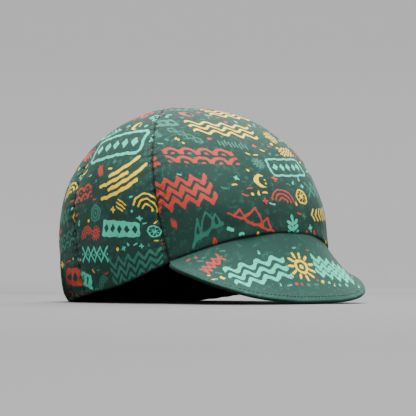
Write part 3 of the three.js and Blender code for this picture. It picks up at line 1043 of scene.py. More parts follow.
def plus(x, y, size, pen):
    """Two crossed strokes."""
    return np.minimum(segment(x, y, (-size, 0), (size, 0)), segment(x, y, (0, -size), (0, size))) - pen / 2


def dot(x, y, size, pen):
    """A filled disc."""
    return np.hypot(x, y) - 0.7 * size


def dash(x, y, size, pen):
    """One short stroke."""
    return segment(x, y, (-size, 0), (size, 0)) - pen / 2


def drop(x, y, size, pen):
    """A filled drop: a disc and a slimmer one over it."""
    return np.minimum(np.hypot(x, y + 0.4 * size) - 0.55 * size, oval(y - 0.1 * size, x, size, 0.36 * size))


print(inked_shares(plus, dot, dash, drop))

# %% [markdown]
# ### Wide figures
# The others are borders, rows and bars. Folding the line at a pitch repeats one piece of a row, so a
# row of diamonds costs no more than one diamond. All of them end WIDE sizes to either side, or about
# there. On a slanting line a factor such as 0.8 turns the height over it into the distance from it.

# %% Wide lines


def three_lines(x, y, line, steepness, size, pen):
    """A line and its copies above and below: distances folded upwards and cut off at the ends."""
    rows = np.abs(repeat(y - line, 0.62 * size)) * steepness - pen / 2
    return np.maximum.reduce([rows, np.abs(x) - WIDE * size, np.abs(y - line) - 0.8 * size])


def zigzag(x, y, size, pen):
    """Three zigzag lines, one over the other."""
    pitch = 0.9 * size
    line = (np.abs(repeat(x, pitch)) / pitch * 2 - 0.5) * 0.55 * size
    return three_lines(x, y, line, 0.63, size, pen)


def waves(x, y, size, pen):
    """Three wave lines."""
    line = 0.2 * size * np.sin(x * 2 * math.pi / (1.15 * size))
    return three_lines(x, y, line, 0.85, size, pen)


print(inked_shares(zigzag, waves))

# %% Rows and frames


def diamonds(x, y, size, pen):
    """A row of diamonds with dots in them."""
    pitch = 1.1 * size
    u = repeat(x, pitch)
    shape = np.abs((np.abs(u) + 0.72 * np.abs(y) - 0.5 * size) * 0.81) - pen / 2
    shape = np.minimum(shape, np.hypot(u, y) - 0.12 * size)
    return np.maximum(shape, np.abs(x) - WIDE * size)


def pennants(x, y, size, pen):
    """Filled triangles that hang from a sagging line."""
    sag = 0.3 * size * (1 - (x / (WIDE * size)) ** 2)
    v = y + sag - 0.45 * size
    u = repeat(x, 0.85 * size)
    flags = np.maximum(np.abs(u) * 0.93 - (v + 0.95 * size) * 0.37, v)
    return np.maximum(np.minimum(np.abs(v) - pen / 2, flags), np.abs(x) - WIDE * size)


def chevrons(x, y, size, pen):
    """A row of open arrows."""
    rows = np.abs(repeat(x - 0.75 * np.abs(y), 0.72 * size)) * 0.8 - pen / 2
    return np.maximum.reduce([rows, np.abs(x - 0.6 * np.abs(y)) - WIDE * size, np.abs(y) - 0.62 * size])


def framed(x, y, size, pen):
    """A round-cornered frame with five filled diamonds in it."""
    frame_line = np.abs(rounded_box(x, y, WIDE * size, 0.9 * size, 0.3 * size)) - pen / 2
    filled = (np.abs(repeat(x, 0.82 * size)) + 0.75 * np.abs(y) - 0.3 * size) * 0.8
    return np.minimum(frame_line, np.maximum(filled, np.abs(x) - (WIDE - 0.25) * size))


print(inked_shares(diamonds, pennants, chevrons, framed))

# %% Filled bars, hills and a leaf


def block(x, y, size, pen):
    """A filled bar with diamonds left out of it."""
    bar = rounded_box(x, y, WIDE * size, 0.75 * size, 0.2 * size)
    holes = (np.abs(repeat(x, 0.9 * size)) + 0.8 * np.abs(y) - 0.34 * size) * 0.78
    return np.maximum(bar, -holes)


def ribbon(x, y, size, pen):
    """A filled wavy band with slanting strokes left out of it."""
    line = 0.22 * size * np.sin(x * 2 * math.pi / (3.1 * size))
    band = np.maximum(np.abs(y - line) - 0.62 * size, np.abs(x) - WIDE * size)
    gaps = np.abs(repeat(x - 0.5 * y, 0.85 * size)) - 0.12 * size
    return np.maximum(band, -np.maximum(gaps, np.abs(y - line) - 0.36 * size))


def hills(x, y, size, pen):
    """Three outlined hills over a ground line."""
    total = segment(x, y, (-WIDE * size, -0.7 * size), (WIDE * size, -0.7 * size))
    for centre, height in ((-1.25, 0.75), (0.1, 1.4), (1.35, 0.9)):
        for side in (-1, 1):
            foot = (centre * size + side * height * 0.75 * size, -0.7 * size)
            total = np.minimum(total, segment(x, y, foot, (centre * size, (height - 0.7) * size)))
    return total - pen / 2


def leaf(x, y, size, pen):
    """A long filled leaf with its veins left out."""
    blade = np.hypot(x, np.abs(y) + 2.2 * size) - 3.05 * size
    veins = np.minimum(np.abs(y), np.abs(repeat(x - 0.7 * np.abs(y), 0.75 * size))) - 0.25 * pen
    return np.maximum(blade, -np.maximum(veins, np.abs(x) - 1.5 * size))


print(inked_shares(block, ribbon, hills, leaf))

# %% Strokes, scallops and a braid


def speed_lines(x, y, size, pen):
    """Four bent strokes of different lengths."""
    bend = y - 0.09 * x**2 / size
    total = np.full(x.shape, FAR)
    for level, start, end in ((-0.7, -2.2, 1.2), (-0.25, -1.3, 2.1), (0.2, -2.0, 0.6), (0.65, -0.9, 1.7)):
        total = np.minimum(total, segment(x, bend, (start * size, level * size), (end * size, level * size)))
    return total - pen / 2


def scallops(x, y, size, pen):
    """Two rows of half rings like roof tiles."""
    total = np.full(x.shape, FAR)
    for level, offset in ((-0.45, 0.0), (0.3, 0.55)):
        u, v = repeat(x - offset * size, 1.1 * size), y - level * size
        ring = np.minimum(np.abs(np.hypot(u, v) - 0.5 * size) - pen / 2, np.hypot(u, v) - 0.16 * size)
        total = np.minimum(total, np.maximum(ring, -v))
    return np.maximum(total, np.abs(x) - WIDE * size)


def braid(x, y, size, pen):
    """Two crossing waves with dots in their loops."""
    line = 0.42 * size * np.sin(x * math.pi / (0.8 * size))
    waves_pair = np.minimum(np.abs(y - line), np.abs(y + line)) * 0.72 - pen / 2
    dots = np.hypot(repeat(x - 0.4 * size, 0.8 * size), y) - 0.13 * size
    return np.maximum(np.minimum(waves_pair, dots), np.abs(x) - WIDE * size)


def tally(x, y, size, pen):
    """A row of upright strokes, each a little off the last one's height."""
    number = np.round(x / (0.5 * size))
    lift = 0.22 * size * np.sin(number * 2.4)
    stroke = segment(repeat(x, 0.5 * size), y - lift, (0, -0.55 * size), (0, 0.55 * size)) - pen / 2
    return np.maximum(stroke, np.abs(x) - WIDE * size)


print(inked_shares(speed_lines, scallops, braid, tally))

# %% All the figures
ROUND_FIGURES = (sun, burst, wheel, rings, star, flower, spiral, arches, hatched, crescent, sprig, cloud)
WIDE_FIGURES = (zigzag, waves, diamonds, pennants, chevrons, framed, block, ribbon)
WIDE_FIGURES += (hills, leaf, speed_lines, scallops, braid, tally)
SMALL_FIGURES = (plus, dot, dash, drop, dash)
print(len({*ROUND_FIGURES, *WIDE_FIGURES, *SMALL_FIGURES}), "different figures")

# %% [markdown]
# ## Laying out the figures
# Each figure asks for room: a round one takes one disc and a wide one takes three in a row. Places
# are drawn at random from a seed, large figures first, and kept where their discs touch no other.
# Small figures then fill what is left. The same seed gives the same print on every run.

# %% The room that a figure takes
DISCS = {"wide": ((-1.5, 0.0, 1.5), 1.08), "round": ((0.0,), 1.05), "small": ((0.0,), 1.15)}


def figure_discs(kind, size, x, y, turn):
    """The discs that a figure keeps free, as x, y and radius: offsets along its turned axis."""
    offsets, radius = DISCS[kind]
    offsets = np.array(offsets) * size
    centres = (x + offsets * math.cos(turn), y + offsets * math.sin(turn))
    return np.stack([*centres, np.full(len(offsets), radius * size)], -1)


def disc_overlap(taken, discs):
    """The greatest overlap of new discs with those taken: both radii less the centres' distance."""
    apart = np.hypot(taken[:, None, 0] - discs[:, 0], taken[:, None, 1] - discs[:, 1])
    return (taken[:, None, 2] + discs[:, 2] - apart).max(initial=-FAR)


print("a wide figure of 10 mm takes", figure_discs("wide", 10, 0, 0, 0).round(1).tolist())

# %% Placing the figures
INK_NAMES = tuple(PALETTE)
INK_ODDS = (0.2, 0.27, 0.23, 0.3)
LAYERS = (
    ("wide", 10.0, 11.5, 9, (0.19, 0.24)),
    ("wide", 6.8, 8.6, 140, (0.17, 0.23)),
    ("round", 7.5, 10.0, 80, (0.12, 0.17)),
    ("wide", 4.6, 6.0, 340, (0.19, 0.23)),
    ("round", 4.8, 6.6, 420, (0.18, 0.22)),
    ("small", 1.3, 2.2, 1400, (0.55, 0.75)),
)
LEAST_PEN = 1.15
FIGURE_GAP = 0.6
CUT_BY_SEAM = 2
LEVEL_ODDS, LEVEL_TURN, FREE_TURN = 0.8, 0.15, 0.9


def lay_out(half_width, low, high, seed, figures=()):
    """Adds figures to those given, on a cloth whose half width is a function of its height."""
    draw = np.random.default_rng(seed)
    figures = list(figures)
    taken = np.zeros((0, 3))
    for shape, _, x, y, size, turn, _ in figures:
        kind = "wide" if shape in WIDE_FIGURES else "round"
        taken = np.concatenate([taken, figure_discs(kind, size, x, y, turn)])
    last = {}
    for kind, small, large, tries, pens in LAYERS:
        choices = {"wide": WIDE_FIGURES, "round": ROUND_FIGURES, "small": SMALL_FIGURES}[kind]
        for _ in range(tries):
            y = draw.uniform(low, high)
            reach = half_width(y) + CUT_BY_SEAM
            x = draw.uniform(-reach, reach)
            size = draw.uniform(small, large)
            level = draw.random() < LEVEL_ODDS
            turn = draw.normal(0, LEVEL_TURN) if level else draw.uniform(-FREE_TURN, FREE_TURN)
            which, ink = draw.integers(len(choices)), draw.choice(len(INK_NAMES), p=INK_ODDS)
            pen = max(LEAST_PEN, size * draw.uniform(*pens))
            discs = figure_discs(kind, size, x, y, turn)
            if disc_overlap(taken, discs) > -FIGURE_GAP:
                continue
            if last.get(kind) == which:
                which = (which + 1) % len(choices)
            last[kind] = which
            taken = np.concatenate([taken, discs])
            figures.append((choices[which], ink, x, y, size, turn, pen))
    return figures


print("a cloth of 60 by 40 mm takes", len(lay_out(lambda height: 30.0, 0.0, 40.0, 1)), "figures")

# %% Ink distances at the points of the cloth
WOBBLE_HEIGHTS = (0.28, 0.16)
WOBBLE_ACROSS = ((0.0, 0.55, 0.0), (0.4, 1.3, 0.0))
WOBBLE_UP = ((0.6, 0.0, 1.0), (1.2, -0.5, 0.0))


def wobble(x, y, turns):
    """How far a hand-drawn line strays in millimetres: a slow and a quick sine across the cloth."""
    slow, quick = (np.sin(a * x + b * y + c) for a, b, c in turns)
    return WOBBLE_HEIGHTS[0] * slow + WOBBLE_HEIGHTS[1] * quick


def ink_distances(x, y, figures):
    """For each ink, the least distance to its figures at each point of the flat cloth."""
    inks = {"ink_" + name: np.full(len(x), FAR) for name in INK_NAMES}
    drawn_x, drawn_y = x + wobble(x, y, WOBBLE_ACROSS), y + wobble(x, y, WOBBLE_UP)
    for shape, ink, cx, cy, size, turn, pen in figures:
        reach = (WIDE + 0.3) * size + 2
        near = np.nonzero((np.abs(x - cx) < reach) & (np.abs(y - cy) < reach))[0]
        if not len(near):
            continue
        dx, dy = drawn_x[near] - cx, drawn_y[near] - cy
        u = dx * math.cos(turn) + dy * math.sin(turn)
        v = dy * math.cos(turn) - dx * math.sin(turn)
        key = "ink_" + INK_NAMES[ink]
        inks[key][near] = np.minimum(inks[key][near], shape(u, v, size, pen))
    return inks


print("lines stray by up to", round(sum(WOBBLE_HEIGHTS), 2), "mm")

# %% [markdown]
# ## The crown panels
# A panel is cut flat and sewn to its neighbours. Here each is a wall of its own between two seams,
# with rows closer together at the rim and columns closer together at the seams, where the cloth
# rolls in. Its flat coordinates are the lengths along its rows and up its middle, so the print and the
# weave keep their size all over it.

# %% Rows and columns of a panel
PANELS = (
    ("front_panel", "right_front", "left_front", 0.0),
    ("left_front_side_panel", "left_front", "left_middle", 81.0),
    ("left_rear_side_panel", "left_middle", "left_rear", 132.0),
    ("back_panel", "left_rear", "right_rear", 180.0),
    ("right_rear_side_panel", "right_rear", "right_middle", 228.0),
    ("right_front_side_panel", "right_middle", "right_front", 279.0),
)
ROW_STEP = 0.82
COLUMN_STEP = 0.78
EDGE_STEPS = np.array([0.0, 0.12, 0.3, 0.55, 0.9, 1.4, 2.1])
APEX_RISE = 0.9994
MERIDIAN_POINTS = 4000


def edged(length, step, both_ends):
    """An odd number of places from 0 to a length, a step apart, and closer at one end or at both."""
    last = length - EDGE_STEPS[-1] if both_ends else length
    between = int((last - EDGE_STEPS[-1]) / step)
    between += (between + 1) % 2
    even = np.linspace(EDGE_STEPS[-1], last, between + 2)[1:-1]
    return np.concatenate([EDGE_STEPS, even, (length - EDGE_STEPS[::-1]) if both_ends else [length]])


def lengths_along(line):
    """The length of a line of points up to each of them: the sum of its steps."""
    return np.concatenate([[0], np.cumsum(np.linalg.norm(np.diff(line, axis=0), axis=1))])


def panel_rises(middle):
    """Rises whose points lie evenly along the meridian, with a few close ones at the rim."""
    fine = np.linspace(0, APEX_RISE, MERIDIAN_POINTS)
    azimuth = np.full(MERIDIAN_POINTS, middle)
    length = lengths_along(cylinder(azimuth, *meridian(azimuth, fine)))
    return np.interp(edged(length[-1], ROW_STEP, both_ends=False), length, fine)


def panel_grid(one, other, middle):
    """Azimuths and rises of a panel's points, from the seam on its right to the one on its left."""
    rise = panel_rises(middle)[:, None]
    start = seam_azimuth(one, rise)
    end = start + (seam_azimuth(other, rise) - start) % 360
    width = math.radians(float((end - start)[0, 0])) * float(plan_radius(np.array(middle)))
    share = edged(width, COLUMN_STEP, both_ends=True) / width
    return start + (end - start) * share, np.broadcast_to(rise, (len(rise), len(share)))


def flat_coordinates(azimuth, rise):
    """Lengths along each row from the middle, and up the middle column from the rim."""
    plain = cylinder(azimuth, *meridian(azimuth, rise))
    along = np.cumsum(np.linalg.norm(np.diff(plain, axis=1), axis=2), axis=1)
    x = np.concatenate([np.zeros((len(plain), 1)), along], axis=1)
    centre = x.shape[1] // 2
    up = lengths_along(plain[:, centre])
    return x - x[:, centre : centre + 1], np.broadcast_to(up[:, None], x.shape)


print("the front panel has", panel_grid(*PANELS[0][1:])[0].shape, "rows and columns")

# %% Faces, print and painted shade of a panel
# Deep folds and the rim take the same painted shade as a seam.
CREASE_PAINTED_SHADE = 0.4
RIM_PAINTED_SHADE = 0.4


def over_table(points):
    """Points of the cap's own frame, with none below the table."""
    points = points.copy()
    points[..., 2] = np.maximum(points[..., 2], table_height(points[..., 1]))
    return points


def rim_row(points, azimuth, depth, normal):
    """The lowest row: points stepped inwards on the level, at the free rim's height."""
    low = points - unit(normal * np.array([1, 1, 0])) * depth
    low[..., 2] = free_rim(azimuth)
    return low


def panel_walls(azimuth, rise):
    """The outer face, and the inner one a cloth's thickness inside it along the plain crown's normal."""
    outer = cloth(azimuth, rise)
    normal = cloth_normal(azimuth, rise, sewn=False)
    inner = outer - normal * CLOTH
    inner[0] = rim_row(outer[0], azimuth[0], CLOTH, normal[0])
    outer[0] = rim_row(outer[0], azimuth[0], 0.0, normal[0])
    return outer, inner


def painted_shade_distance(azimuth, rise):
    """Where the painted shade falls: the least of the distances to a seam and to the rim, and of a length
    that deep folds shorten.
    """
    radius, height = meridian(azimuth, rise)
    over = height - rim_height(azimuth)
    fold = np.clip(PAINTED_SHADE_TO - CREASE_PAINTED_SHADE * gather_depth(azimuth, over), PAINTED_SHADE_FROM, None)
    return np.minimum(np.minimum(seam_distance(azimuth, rise, radius), fold), RIM_PAINTED_SHADE + over)


def on_inside(faces):
    """For each face of a wall, whether it belongs to the inner grid."""
    return np.concatenate([np.full(len(part), number == 1) for number, part in enumerate(faces)])


print("a fold of 3 mm is shaded like a seam", round(PAINTED_SHADE_TO - 3 * CREASE_PAINTED_SHADE, 1), "mm away")

# %% Build the six panels
PANEL_SEED = 40


def build_panel(name, one, other, middle, seed):
    """A panel's wall of every point outside and every second one inside, with its print."""
    azimuth, rise = panel_grid(one, other, middle)
    outer, inner = panel_walls(azimuth, rise)
    x, y = flat_coordinates(azimuth, rise)
    edge = np.abs(x).max(axis=1)
    figures = lay_out(lambda height: float(np.interp(height, y[:, 0], edge)), 0.0, float(y[-1, 0]), seed)
    values = ink_distances(x.ravel(), y.ravel(), figures)
    # Painted shade beside the seams, in deep folds and along the rim.
    values["painted_shade_mm"] = painted_shade_distance(azimuth, rise).ravel()
    unprinted = np.full(inner[::2, ::2, 0].size, FAR)
    values = {key: np.concatenate([data, unprinted]) for key, data in values.items()}
    faces = wall_faces(*azimuth.shape, every=2)
    points = np.concatenate([outer.reshape(-1, 3), inner[::2, ::2].reshape(-1, 3)])
    flat = np.stack([x, y], -1)
    uv = np.concatenate([flat.reshape(-1, 2), flat[::2, ::2].reshape(-1, 2)])
    points = placed(over_table(points))
    panel = mesh_object(name + "_cloth", points, faces, [poplin, reverse], on_inside(faces), uv, values)
    print(name, "carries", len(figures), "figures")
    seated(panel, "crown_cloth", name)


for number, row in enumerate(PANELS):
    build_panel(*row, seed=PANEL_SEED + number)

# %% [markdown]
# ## The peak
# The peak is two cloths over a stiff core, closed along its front edge. Its middle surface is the
# formula above, and its thickness falls to nothing over the last millimetre and a half like a half
# round, so the edge is soft. Rows lie close together there. Both faces are printed, the upper one on a
# paler green that is painted light, for the face turned up to the lamps, and both get a painted shade
# along their edges. Behind the rim it goes on for 2 mm, as the seam allowance that the crown's edge hides.

# %% The peak's faces
PEAK_COLUMNS, PEAK_ROWS = 231, 58
PEAK_EDGE_STEPS = np.array([0, 0.04, 0.14, 0.3, 0.5, 0.75, 1.05, 1.4, 1.8, 2.3])
PEAK_EDGE_REACH = 8
PEAK_EDGE_LEAST = 0.05
PEAK_ALLOWANCE = np.array([0.5, 1.2, 2.0])
PEAK_WAVES = (44, 33, 27)
PEAK_WAVE_HEIGHT, PEAK_WAVE_SEED = 0.22, 5


def peak_grid():
    """Places across and ahead: edge rows at fixed distances, and a seam allowance behind the rim."""
    across = np.sin(np.linspace(-0.5, 0.5, PEAK_COLUMNS) * math.pi)
    reach = peak_reach(across)
    edge = PEAK_EDGE_STEPS[:, None] * np.clip(reach / PEAK_EDGE_REACH, 0, 1)
    rest = edge[-1] + (reach - edge[-1]) * np.linspace(0, 1, PEAK_ROWS + 1)[1:, None]
    from_edge = np.concatenate([edge, rest, reach + PEAK_ALLOWANCE[:, None]])[::-1]
    return np.broadcast_to(across, from_edge.shape), 1 - from_edge / reach, from_edge


def peak_wave(points):
    """How far the peak's cloth waves out at points of its middle surface."""
    return ripple(points, PEAK_WAVES, PEAK_WAVE_HEIGHT, PEAK_WAVE_SEED)[..., None]


across, ahead, from_edge = peak_grid()
half_thickness = PEAK_THICKNESS / 2
inward = np.clip(half_thickness - from_edge, 0, half_thickness)
half = np.sqrt(np.clip(half_thickness**2 - inward**2, PEAK_EDGE_LEAST**2, None))
top_face = peak_point(across, ahead)
normal = peak_normal(across, np.maximum(ahead, 0))
middle_face = top_face - normal * half_thickness
wave = peak_wave(middle_face) * normal
upper = middle_face + normal * half[..., None] + wave
lower = middle_face - normal * half[..., None] + wave
print("the peak has", across.shape, "rows and columns")

# %% The peak's print
PEAK_PRINT_HALF_WIDTH = 76.0
PEAK_PRINT_FROM, PEAK_PRINT_TO = 14.0, 50.0
PEAK_PRINT_SEED = 71
PEAK_ADDED_SIZE = 2.5
TOP_PRINT = (
    (sun, "yellow", 0, 29, 11.5, 0.2, 2.0),
    (waves, "mint", -36, 27, 10.5, 0.1, 3.0),
    (zigzag, "mint", 34.5, 28, 9.6, -0.1, 2.6),
    (framed, "coral", 67, 36, 4.4, -0.5, 1.3),
    (diamonds, "coral", -66, 39, 5.0, 0.5, 1.4),
)
UNDERSIDE_PRINT = (
    (block, "yellow", -30, 28, 10.5, 0.1, 2.8),
    (wheel, "coral", 2, 28, 10.5, 0.0, 1.8),
    (scallops, "yellow", 34, 28, 10.5, -0.1, 2.6),
    (waves, "mint", 62, 36, 5.5, -0.5, 1.5),
    (star, "mint", -62, 38, 7.0, 0.2, 1.6),
)
widths = np.linalg.norm(np.diff(top_face, axis=1), axis=2)
sideways = np.concatenate([np.zeros((len(widths), 1)), np.cumsum(widths, axis=1)], axis=1)
sideways = sideways - sideways[:, -1:] / 2
outwards = PEAK_LENGTH - ahead * peak_reach(across)
sides = []
for seed, chosen in enumerate((TOP_PRINT, UNDERSIDE_PRINT), PEAK_PRINT_SEED):
    main = [(shape, INK_NAMES.index(ink), *rest) for shape, ink, *rest in chosen]
    filled = lay_out(lambda height: PEAK_PRINT_HALF_WIDTH, PEAK_PRINT_FROM, PEAK_PRINT_TO, seed, main)
    figures = [row for row in filled if row in main or row[4] < PEAK_ADDED_SIZE]
    sides.append(ink_distances(sideways.ravel(), outwards.ravel(), figures))
    print("one face of the peak carries", len(figures), "figures")

# %% Build the peak
from_join = ahead * peak_reach(across)
values = {key: np.concatenate([sides[0][key], sides[1][key]]) for key in sides[0]}
# Painted shade along the peak's edges and its join: it ends about 1 mm in from the upper face's edges, and
# 2.5 mm in from the underside's front
top_painted_shade = np.minimum(from_edge * 1.5 + 0.3, from_join * 1.2 + 0.2)
underside_painted_shade = from_edge * 0.6
values["painted_shade_mm"] = np.concatenate([top_painted_shade.ravel(), underside_painted_shade.ravel()])
faces = wall_faces(*across.shape)
points = placed(over_table(np.concatenate([upper.reshape(-1, 3), lower.reshape(-1, 3)])))
uv = np.tile(np.stack([sideways.ravel(), outwards.ravel()], -1), (2, 1))
# The upper face takes the paler cloth, painted light as if lit from above; the underside the plain one.
cloths = [painted_lit_poplin, poplin]
peak = mesh_object("peak_cloth_and_core", points, faces, cloths, on_inside(faces), uv, values)
seated(peak, "peak_cloth", "peak")

# %% [markdown]
# ## The sweatband
# A folded black tape lies inside the rim all the way round. It is a ring between two grids, set in
# from the crown's cloth, with an upper edge that waves a little because only its lower edge is sewn
# down.

# %% Build the sweatband
BAND_HEIGHT = 32.0
BAND_THICKNESS = 1.4
BAND_SET_UP = 1.0
BAND_GAP = 1.1
BAND_COLUMNS, BAND_ROWS = 420, 26
BAND_TOP_WAVES = ((1.1, 9, 1), (0.7, 17, 0))
BAND_LEAN_WAVES = (23, 17, 13)
BAND_LEAN_HEIGHT, BAND_LEAN_SEED = 0.35, 31
BAND_FOLD_SHARE, BAND_FOLD_DEPTH = 0.07, 0.45
BAND_FLAT_RADIUS = 90


def rise_at(azimuth, height):
    """The rise at which the plain crown has a height: the meridian's formula turned round."""
    waist = blended(azimuth, "waist") * CROWN_HEIGHT
    low = rim_height(azimuth)
    below = WAIST * (height - low) / (waist - low)
    power = 2 / blended(azimuth, "power")
    share = np.clip((height - waist) / (CROWN_HEIGHT - waist), 0, 1) ** (1 / power)
    above = WAIST + (1 - WAIST) * np.arcsin(share) / (math.pi / 2)
    return np.where(height < waist, below, above)


band_azimuth, band_share = np.meshgrid(
    np.arange(BAND_COLUMNS) * 360 / BAND_COLUMNS,
    np.linspace(0, 1, BAND_ROWS),
)
round_turn = np.radians(band_azimuth)
band_top = sum(rise * np.sin(round_turn * count + start) for rise, count, start in BAND_TOP_WAVES)
band_height = rim_height(band_azimuth) + BAND_SET_UP + (BAND_HEIGHT + band_top) * band_share
band_rise = rise_at(band_azimuth, band_height)
band_base = cloth(band_azimuth, band_rise, sewn=False)
band_normal = cloth_normal(band_azimuth, band_rise, sewn=False)
band_lean = ripple(band_base, BAND_LEAN_WAVES, BAND_LEAN_HEIGHT, BAND_LEAN_SEED) * band_share
fold_edge = bump((band_share - 1) / BAND_FOLD_SHARE) + bump(band_share / BAND_FOLD_SHARE)
fold_edge = fold_edge * BAND_FOLD_DEPTH
set_in = CLOTH + BAND_GAP + fold_edge + np.clip(band_lean, 0, None)
band_outer = band_base - band_normal * set_in[..., None]
band_inner = band_outer - band_normal * (BAND_THICKNESS - 1.8 * fold_edge)[..., None]
faces = wall_faces(*band_azimuth.shape, ring=True)
points = placed(np.concatenate([band_outer.reshape(-1, 3), band_inner.reshape(-1, 3)]))
band_along = np.radians(180 - np.abs(band_azimuth - 180)) * BAND_FLAT_RADIUS
uv = np.tile(np.stack([band_along.ravel(), band_height.ravel()], -1), (2, 1))
band = mesh_object("sweatband_tape", points, faces, [band_cloth], None, uv)
seated(band, "band_cloth", "sweatband")

# %% [markdown]
# ## The red loop
# A folded strip of woven tape is caught in the left rear seam. Its path runs out, round a bend and
# back, and the strip has a thickness of its own. Fine ribs run across the tape, and it curls a little.

# %% Build the loop
TAG_HEIGHT = 22.0
TAG_REACH = 11.5
TAG_CLOTH = 0.6
TAG_SLIT = 0.5
TAG_TURN = 24.0
TAG_RISE = 0.385
TAG_ROWS = 60
TAG_TWIST = 9.0
TAG_SIDE_POINTS, TAG_BEND_POINTS = 26, 14
TAG_RIB_HEIGHT, TAG_RIB_PITCH = 0.035, 1.1
TAG_CURL, TAG_CURL_POWER, TAG_CURL_LOW = 0.033, 1.6, 0.35
TAG_UV_STEP = 0.45
TAG_RISE_STEP = 0.02


def tag_path(radius):
    """The strip's section: out at one side, round a half circle and back at the other."""
    bend = TAG_REACH - TAG_SLIT / 2 - TAG_CLOTH
    straight = np.linspace(0, bend, TAG_SIDE_POINTS)
    angle = np.linspace(-math.pi / 2, math.pi / 2, TAG_BEND_POINTS)[1:-1]
    one_side = np.full(TAG_SIDE_POINTS, radius)
    x = np.concatenate([straight, bend + radius * np.cos(angle), straight[::-1]])
    y = np.concatenate([-one_side, radius * np.sin(angle), one_side])
    return x, y


tag_azimuth = np.array(float(seam_azimuth("left_rear", TAG_RISE)))
tag_seat = cloth(tag_azimuth, TAG_RISE)
tag_normal = cloth_normal(tag_azimuth, TAG_RISE, sewn=False)
tag_above = cloth(tag_azimuth, TAG_RISE + TAG_RISE_STEP, sewn=False)
tag_below = cloth(tag_azimuth, TAG_RISE - TAG_RISE_STEP, sewn=False)
tag_up = unit(tag_above - tag_below)
tag_side = unit(np.cross(tag_up, tag_normal))
tag_rows = np.linspace(0, TAG_HEIGHT, TAG_ROWS)[:, None]
tag_turns = np.radians(TAG_TURN + TAG_TWIST * (1 - 2 * tag_rows / TAG_HEIGHT))[..., None]
tag_out = tag_side * np.cos(tag_turns) + tag_normal * np.sin(tag_turns)
tag_across = np.cross(tag_up, tag_out)
tag_lift = SEAM_GAP + (TAG_SLIT / 2 + TAG_CLOTH) * math.cos(math.radians(TAG_TURN))
tag_start = tag_seat + tag_normal * tag_lift - tag_up * (TAG_HEIGHT / 2)
rib = TAG_RIB_HEIGHT * np.sin(tag_rows * 2 * math.pi / TAG_RIB_PITCH)
curl_share = TAG_CURL_LOW + (1 - TAG_CURL_LOW) * tag_rows / TAG_HEIGHT
tag_faces = []
for radius, rib_side in ((TAG_SLIT / 2 + TAG_CLOTH, 1), (TAG_SLIT / 2, -1)):
    x, y = tag_path(radius)
    offset = y + np.sign(y) * rib_side * rib + TAG_CURL * x**TAG_CURL_POWER * curl_share
    grid = tag_start + x[None, :, None] * tag_out + offset[..., None] * tag_across
    tag_faces.append(grid + tag_rows[..., None] * tag_up)
faces = wall_faces(TAG_ROWS, tag_faces[0].shape[1])
points = placed(np.concatenate([face.reshape(-1, 3) for face in tag_faces]))
tag_u, tag_v = np.meshgrid(np.arange(tag_faces[0].shape[1]) * TAG_UV_STEP, tag_rows[:, 0])
uv = np.tile(np.stack([tag_u.ravel(), tag_v.ravel()], -1), (2, 1))
tag = mesh_object("tag_loop_tape", points, faces, [tape], None, uv)
seated(tag, "red_tape", "tag_loop")

# %% [markdown]
# ## Top-stitching
# A row of stitches runs on either side of every seam and inside the peak's edge, in thread as green as
# the cloth. One stitch is a short thread that comes up out of the cloth and dives back in. It is made
# once as a few rings of points, and array arithmetic copies it to every place, all in one mesh.

# %% One stitch, copied
STITCH_PITCH = 3.1
STITCH_ALONG = np.array([-1.25, -1.0, -0.5, 0.5, 1.0, 1.25])
STITCH_LIFT = np.array([-0.3, 0.02, 0.14, 0.14, 0.02, -0.3])
STITCH_RADIUS = np.array([0.14, 0.2, 0.23, 0.23, 0.2, 0.14])
STITCH_SIDES = 6


def stitch_mesh(name, centres, along, out):
    """One stitch at every centre: its points times the row's direction, side and outward normal."""
    angle = np.arange(STITCH_SIDES) * 2 * math.pi / STITCH_SIDES
    side = STITCH_RADIUS[:, None] * np.cos(angle)
    lift = STITCH_LIFT[:, None] + STITCH_RADIUS[:, None] * np.sin(angle)
    run = np.broadcast_to(STITCH_ALONG[:, None], side.shape)
    across = unit(np.cross(out, along))
    local = np.stack([run.ravel(), side.ravel(), lift.ravel()], -1)
    basis = np.stack([unit(along), across, out], 1)
    points = centres[:, None] + np.einsum("pk,nkc->npc", local, basis)
    ring, number = np.meshgrid(np.arange(len(STITCH_ALONG) - 1), np.arange(STITCH_SIDES), indexing="ij")
    after = (number + 1) % STITCH_SIDES
    a, b = ring * STITCH_SIDES + number, ring * STITCH_SIDES + after
    sides = np.stack([a, a + STITCH_SIDES, b + STITCH_SIDES, b], -1).reshape(-1, 4)
    cap = np.array([[0, 1, 2, 3], [0, 3, 4, 5]])
    one = np.concatenate([sides, cap, cap[:, ::-1] + (len(STITCH_ALONG) - 1) * STITCH_SIDES])
    faces = (one[None] + (np.arange(len(centres)) * len(local))[:, None, None]).reshape(-1, 4)
    uv = np.zeros((len(centres) * len(local), 2))
    return mesh_object(name, placed(points.reshape(-1, 3)), [faces], [thread], None, uv)


print("a stitch is", 2 * STITCH_ALONG[-1], "mm long, of a pitch of", STITCH_PITCH, "mm")

# %% Rows beside the seams
ROW_START = 2.0
ROW_STEPS = 0.004
SEAM_ROW_ASIDE = 2.3
SEAM_ROW_FROM, SEAM_ROW_TO = 0.012, 0.965
SEAM_ROW_POINTS = 900


def stitch_shares(line):
    """Shares of a line's length at which its stitches lie, one pitch apart."""
    length = lengths_along(line)
    spots = np.arange(ROW_START, length[-1] - ROW_START, STITCH_PITCH)
    return np.interp(spots, length, np.linspace(0, 1, len(line)))


def beside_seam(name, side, rise):
    """The azimuth at a distance to one side of a seam: the seam's own, plus distance over radius."""
    azimuth = seam_azimuth(name, rise)
    return azimuth + side * np.degrees(SEAM_ROW_ASIDE / meridian(azimuth, rise)[0])


